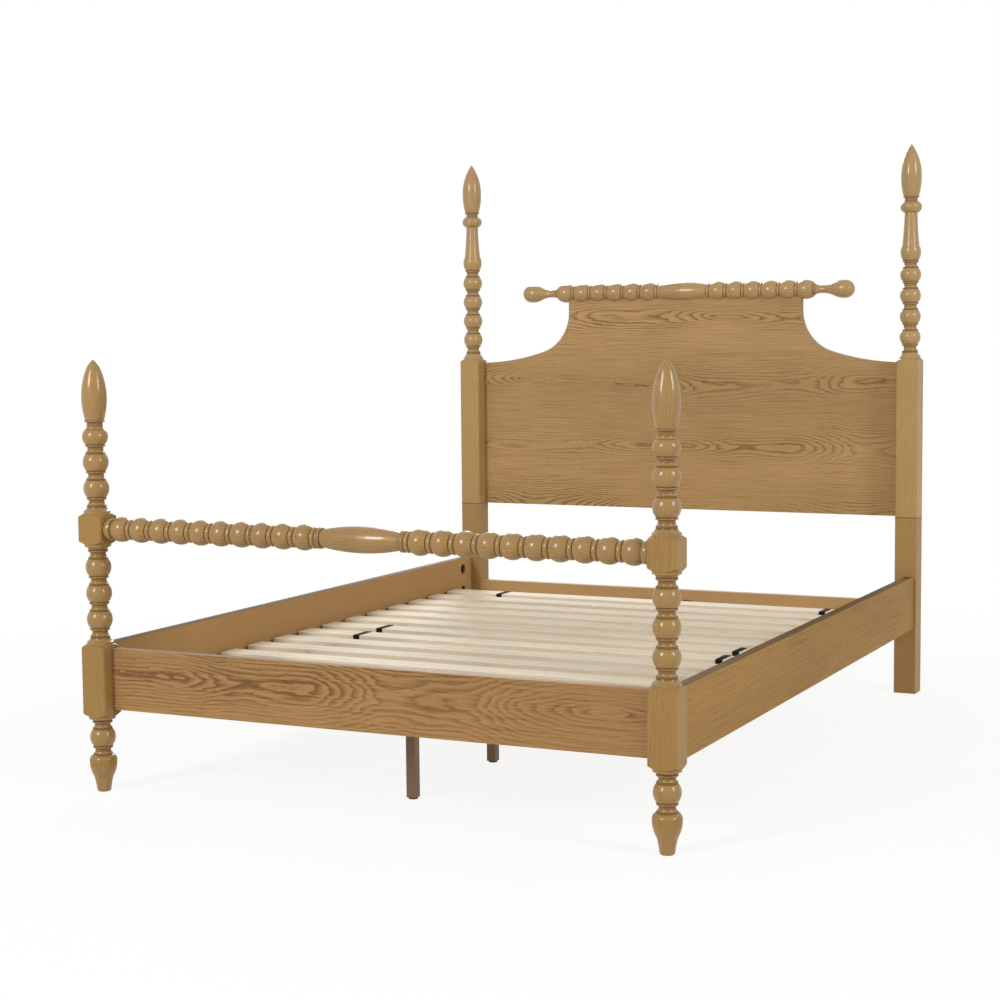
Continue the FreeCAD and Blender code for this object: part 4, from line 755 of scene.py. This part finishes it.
class BED_OT_straps(bpy.types.Operator):
    """Weave the bands that hold the slats, in place of their plain solids"""

    bl_idname = "bed.straps"
    bl_label = "Straps"

    def execute(self, context):
        settings = context.scene.bed_fittings
        material = self.make_webbing(settings)
        for roll, first, last in (("foot", "slat_01", "slat_07"),
                                  ("head", "slat_08", "slat_14")):
            line = self.band_line(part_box(first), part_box(last), settings.strap_thickness)
            for node in pair_of("strap_" + roll):
                self.make_band(node, line, material, settings)
        return {"FINISHED"}

    def make_webbing(self, settings):
        material, graph, shader = new_material("black_webbing")
        uv = graph.add("ShaderNodeTexCoord").outputs["UV"]
        weave = use_group(graph, "weave", {"Vector": uv, "Color": settings.webbing})
        add_wear(graph, shader, object_place(graph), weave["Color"], 0.8, 0.3)
        shader.inputs["Specular IOR Level"].default_value = 0.2
        add_bump(graph, shader, weave["Height"], 0.0003)
        return material

    def band_line(self, first, last, thickness):
        """The middle line of a band as points (y, z): down the inner side of the first slat's
        wrap, over it, under all seven, and round the last."""
        away = STRAP_GAP + thickness / 2
        under = first[0].z - away
        top = first[1].z + away
        tip = first[0].z + STRAP_TIP
        first_back = first[1].y + away
        first_front = first[0].y - away
        last_back = last[1].y + away
        last_front = last[0].y - away
        corners = [Vector(corner) for corner in (
            (first_back, tip), (first_back, top), (first_front, top), (first_front, under),
            (last_back, under), (last_back, top), (last_front, top), (last_front, tip))]
        line = [corners[0]]
        for before, corner, after in zip(corners, corners[1:], corners[2:]):
            incoming = (corner - before).normalized() * STRAP_BEND
            outgoing = (after - corner).normalized() * STRAP_BEND
            heart = corner - incoming + outgoing
            for step in range(ARC_STEPS + 1):
                turn = math.pi / 2 * step / ARC_STEPS
                line.append(heart - outgoing * math.cos(turn) + incoming * math.sin(turn))
        line.append(corners[-1])
        return line

    def make_band(self, node, line, material, settings):
        low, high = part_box(node)
        middle_x = (low.x + high.x) / 2
        run = [0.0]
        for before, after in zip(line, line[1:]):
            run.append(run[-1] + (after - before).length)
        shape = bmesh.new()
        rows = len(line) - 1
        bmesh.ops.create_grid(shape, x_segments=BAND_COLUMNS, y_segments=rows, size=0.5)
        for vertex in shape.verts:
            row = round((vertex.co.y + 0.5) * rows)
            vertex.co = Vector((vertex.co.x * settings.strap_width, run[row], 0))
        faces = list(shape.faces)
        bmesh.ops.recalc_face_normals(shape, faces=faces)
        bmesh.ops.solidify(shape, geom=faces, thickness=settings.strap_thickness)
        middle_z = sum(vertex.co.z for vertex in shape.verts) / len(shape.verts)
        layer = shape.loops.layers.uv.new("band")
        for face in shape.faces:
            for loop in face.loops:
                loop[layer].uv = (loop.vert.co.x, loop.vert.co.y)
        for vertex in shape.verts:
            edge = abs(vertex.co.x) / (settings.strap_width / 2)
            thin = SELVEDGE if edge > 0.99 else BAND_BODY
            self.bend_point(vertex, line, run, (vertex.co.z - middle_z) * thin, middle_x)
        bmesh.ops.recalc_face_normals(shape, faces=list(shape.faces))
        mesh = bpy.data.meshes.new("webbing_" + node)
        shape.to_mesh(mesh)
        shape.free()
        for face in mesh.polygons:
            face.use_smooth = True
        mesh.materials.append(material)
        band = new_object("webbing_" + node, mesh)
        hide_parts(node)
        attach(band, FRAME_BODY)

    def bend_point(self, vertex, line, run, off, middle_x):
        """Moves a point of the flat band onto the band's line."""
        row = min(range(len(run)), key=lambda number: abs(run[number] - vertex.co.y))
        before = line[max(row - 1, 0)]
        after = line[min(row + 1, len(line) - 1)]
        ahead = (after - before).normalized()
        spot = line[row] + Vector((-ahead.y, ahead.x)) * off
        vertex.co = Vector((middle_x + vertex.co.x, spot.x, spot.y))


class BED_OT_fittings(bpy.types.Operator):
    """Finish the metal and plastic pieces"""

    bl_idname = "bed.fittings"
    bl_label = "Fittings"

    def execute(self, context):
        settings = context.scene.bed_fittings
        black = coated_material("black_steel", settings.black_steel, 0.42, amount=0.3, coat=0.3)
        dress(black, "rail_bolts", "rail_bolt_washers", "rail_bolt_nuts", "slat_screws",
              "bracket_screws", "centre_leg_screws", "beam_bracket_foot",
              "beam_bracket_head")
        brown = coated_material("leg_powder_coat", settings.leg_brown, 0.45)
        dress(brown, *["centre_leg_%d" % number for number in LEG_NUMBERS])
        zinc = coated_material("zinc_plate", settings.zinc, 0.35, metallic=1.0)
        dress(zinc, "cleat_screws", "panel_screws", "strap_staples")
        brass = coated_material("brass_insert", settings.brass, 0.3, metallic=1.0)
        dress(brass, "threaded_inserts")
        plastic = coated_material("brown_plastic", settings.plastic, 0.5)
        dress(plastic, "leg_plugs", *["levelling_foot_%d" % number for number in LEG_NUMBERS])
        beech = board_material(
            "dowel_beech", (settings.dowel_light, settings.dowel_dark), "yzx", (0, 0, 0),
            pair=True, contrast=0.3, pores=0.2, roughness=0.6, coat=0.0)
        dress(beech, "head_post_dowels", "headboard_spindle_dowels", "cross_rail_dowels")
        return {"FINISHED"}


class BED_OT_stage(bpy.types.Operator):
    """Set the floor, the lamps and the camera"""

    bl_idname = "bed.stage"
    bl_label = "Stage"

    def execute(self, context):
        settings = context.scene.bed_stage
        scene = context.scene
        scene.view_settings.view_transform = "Standard"
        self.make_floor()
        self.make_world(scene, settings)
        turn = math.radians(settings.camera_azimuth)
        for name, swing, share in SOFT_BOXES:
            self.make_lamp(name, turn + math.radians(swing), settings.key_power * share,
                           settings.lamp_size)
        self.make_camera(scene, settings)
        return {"FINISHED"}

    def make_floor(self):
        mesh = bpy.data.meshes.new("floor")
        shape = bmesh.new()
        bmesh.ops.create_circle(shape, cap_ends=True, segments=128, radius=FLOOR_RADIUS)
        shape.to_mesh(mesh)
        shape.free()
        floor = new_object("floor", mesh)
        material, graph, shader = new_material("pale_floor")
        shader.inputs["Base Color"].default_value = (0.9, 0.9, 0.89, 1)
        shader.inputs["Roughness"].default_value = 0.9
        shader.inputs["Specular IOR Level"].default_value = 0.1
        # the camera sees the floor nearly white; the shadow still shows near the bed
        glow = graph.add("ShaderNodeEmission", {"Color": (1.0, 1.0, 0.995), "Strength": 1.0})
        reach = graph.add("ShaderNodeVectorMath", {0: object_place(graph)}, operation="LENGTH")
        far = graph.span(reach.outputs["Value"], SHADOW_NEAR, SHADOW_FAR, SHADOW_GLOW, 1.0,
                         smooth=True)
        share = graph.math("MULTIPLY", seen_rays(graph), far)
        blend = graph.add("ShaderNodeMixShader", {
            0: share, 1: shader.outputs[0], 2: glow.outputs[0]})
        output = material.node_tree.nodes["Material Output"]
        graph.feed(output.inputs["Surface"], blend.outputs[0])
        mesh.materials.append(material)

    def make_world(self, scene, settings):
        world = bpy.data.worlds.new("studio")
        scene.world = world
        world.use_nodes = True
        graph = Graph(world.node_tree)
        background = world.node_tree.nodes["Background"]
        # the pieces are lit by the even fill, but what the camera sees of the world is white
        strength = graph.span(seen_rays(graph), 0.0, 1.0, settings.fill_level, 1.0)
        background.inputs["Color"].default_value = (1, 1, 1, 1)
        graph.feed(background.inputs["Strength"], strength)

    def make_lamp(self, name, swing, power, size):
        lamp = bpy.data.lights.new("soft_box_" + name, "AREA")
        lamp.shape = "ELLIPSE"
        lamp.size = size
        lamp.size_y = size * 2
        lamp.energy = power
        thing = new_object("soft_box_" + name, lamp)
        aim = Vector(LAMP_AIM)
        thing.location = aim + Vector((math.sin(swing) * LAMP_REACH,
                                       -math.cos(swing) * LAMP_REACH, LAMP_RISE))
        thing.rotation_euler = (aim - thing.location).to_track_quat("-Z", "Y").to_euler()

    def make_camera(self, scene, settings):
        camera = bpy.data.cameras.new("camera")
        camera.sensor_width = SENSOR_WIDTH
        camera.lens = settings.focal_length
        camera.clip_end = VIEW_DISTANCE
        thing = new_object("camera", camera)
        turn = Matrix.Rotation(math.radians(settings.camera_azimuth), 4, "Z")
        tilt = Matrix.Rotation(math.radians(90 - settings.camera_elevation), 4, "X")
        roll = Matrix.Rotation(math.radians(settings.camera_roll), 4, "Z")
        place = Matrix.Translation(Vector(settings.camera_place))
        thing.matrix_world = place @ turn @ tilt @ roll
        scene.camera = thing


STEPS = (BED_OT_turned_pieces, BED_OT_headboard, BED_OT_rails, BED_OT_slats, BED_OT_straps,
         BED_OT_fittings, BED_OT_stage)


class BED_PT_panel(bpy.types.Panel):
    """Lists the steps and their settings"""

    bl_idname = "BED_PT_panel"
    bl_label = "Spindle Bed"
    bl_space_type = "VIEW_3D"
    bl_region_type = "UI"
    bl_category = "Spindle Bed"

    def draw(self, context):
        for step in STEPS:
            self.layout.operator(step.bl_idname)
        for settings in (context.scene.bed_wood, context.scene.bed_fittings,
                         context.scene.bed_stage):
            column = self.layout.column()
            for name in settings.__annotations__:
                column.prop(settings, name)


GROUPS_OF_SETTINGS = (("bed_wood", BedWoodSettings), ("bed_fittings", BedFittingSettings),
                      ("bed_stage", BedStageSettings))


def register():
    for name, settings in GROUPS_OF_SETTINGS:
        bpy.utils.register_class(settings)
        setattr(bpy.types.Scene, name, bpy.props.PointerProperty(type=settings))
    for step in STEPS:
        bpy.utils.register_class(step)
    bpy.utils.register_class(BED_PT_panel)


def unregister():
    bpy.utils.unregister_class(BED_PT_panel)
    for step in reversed(STEPS):
        bpy.utils.unregister_class(step)
    for name, settings in reversed(GROUPS_OF_SETTINGS):
        delattr(bpy.types.Scene, name)
        bpy.utils.unregister_class(settings)


def main():
    register()
    for step in STEPS:
        family, action = step.bl_idname.split(".")
        getattr(getattr(bpy.ops, family), action)()


if __name__ == "__main__":
    main()
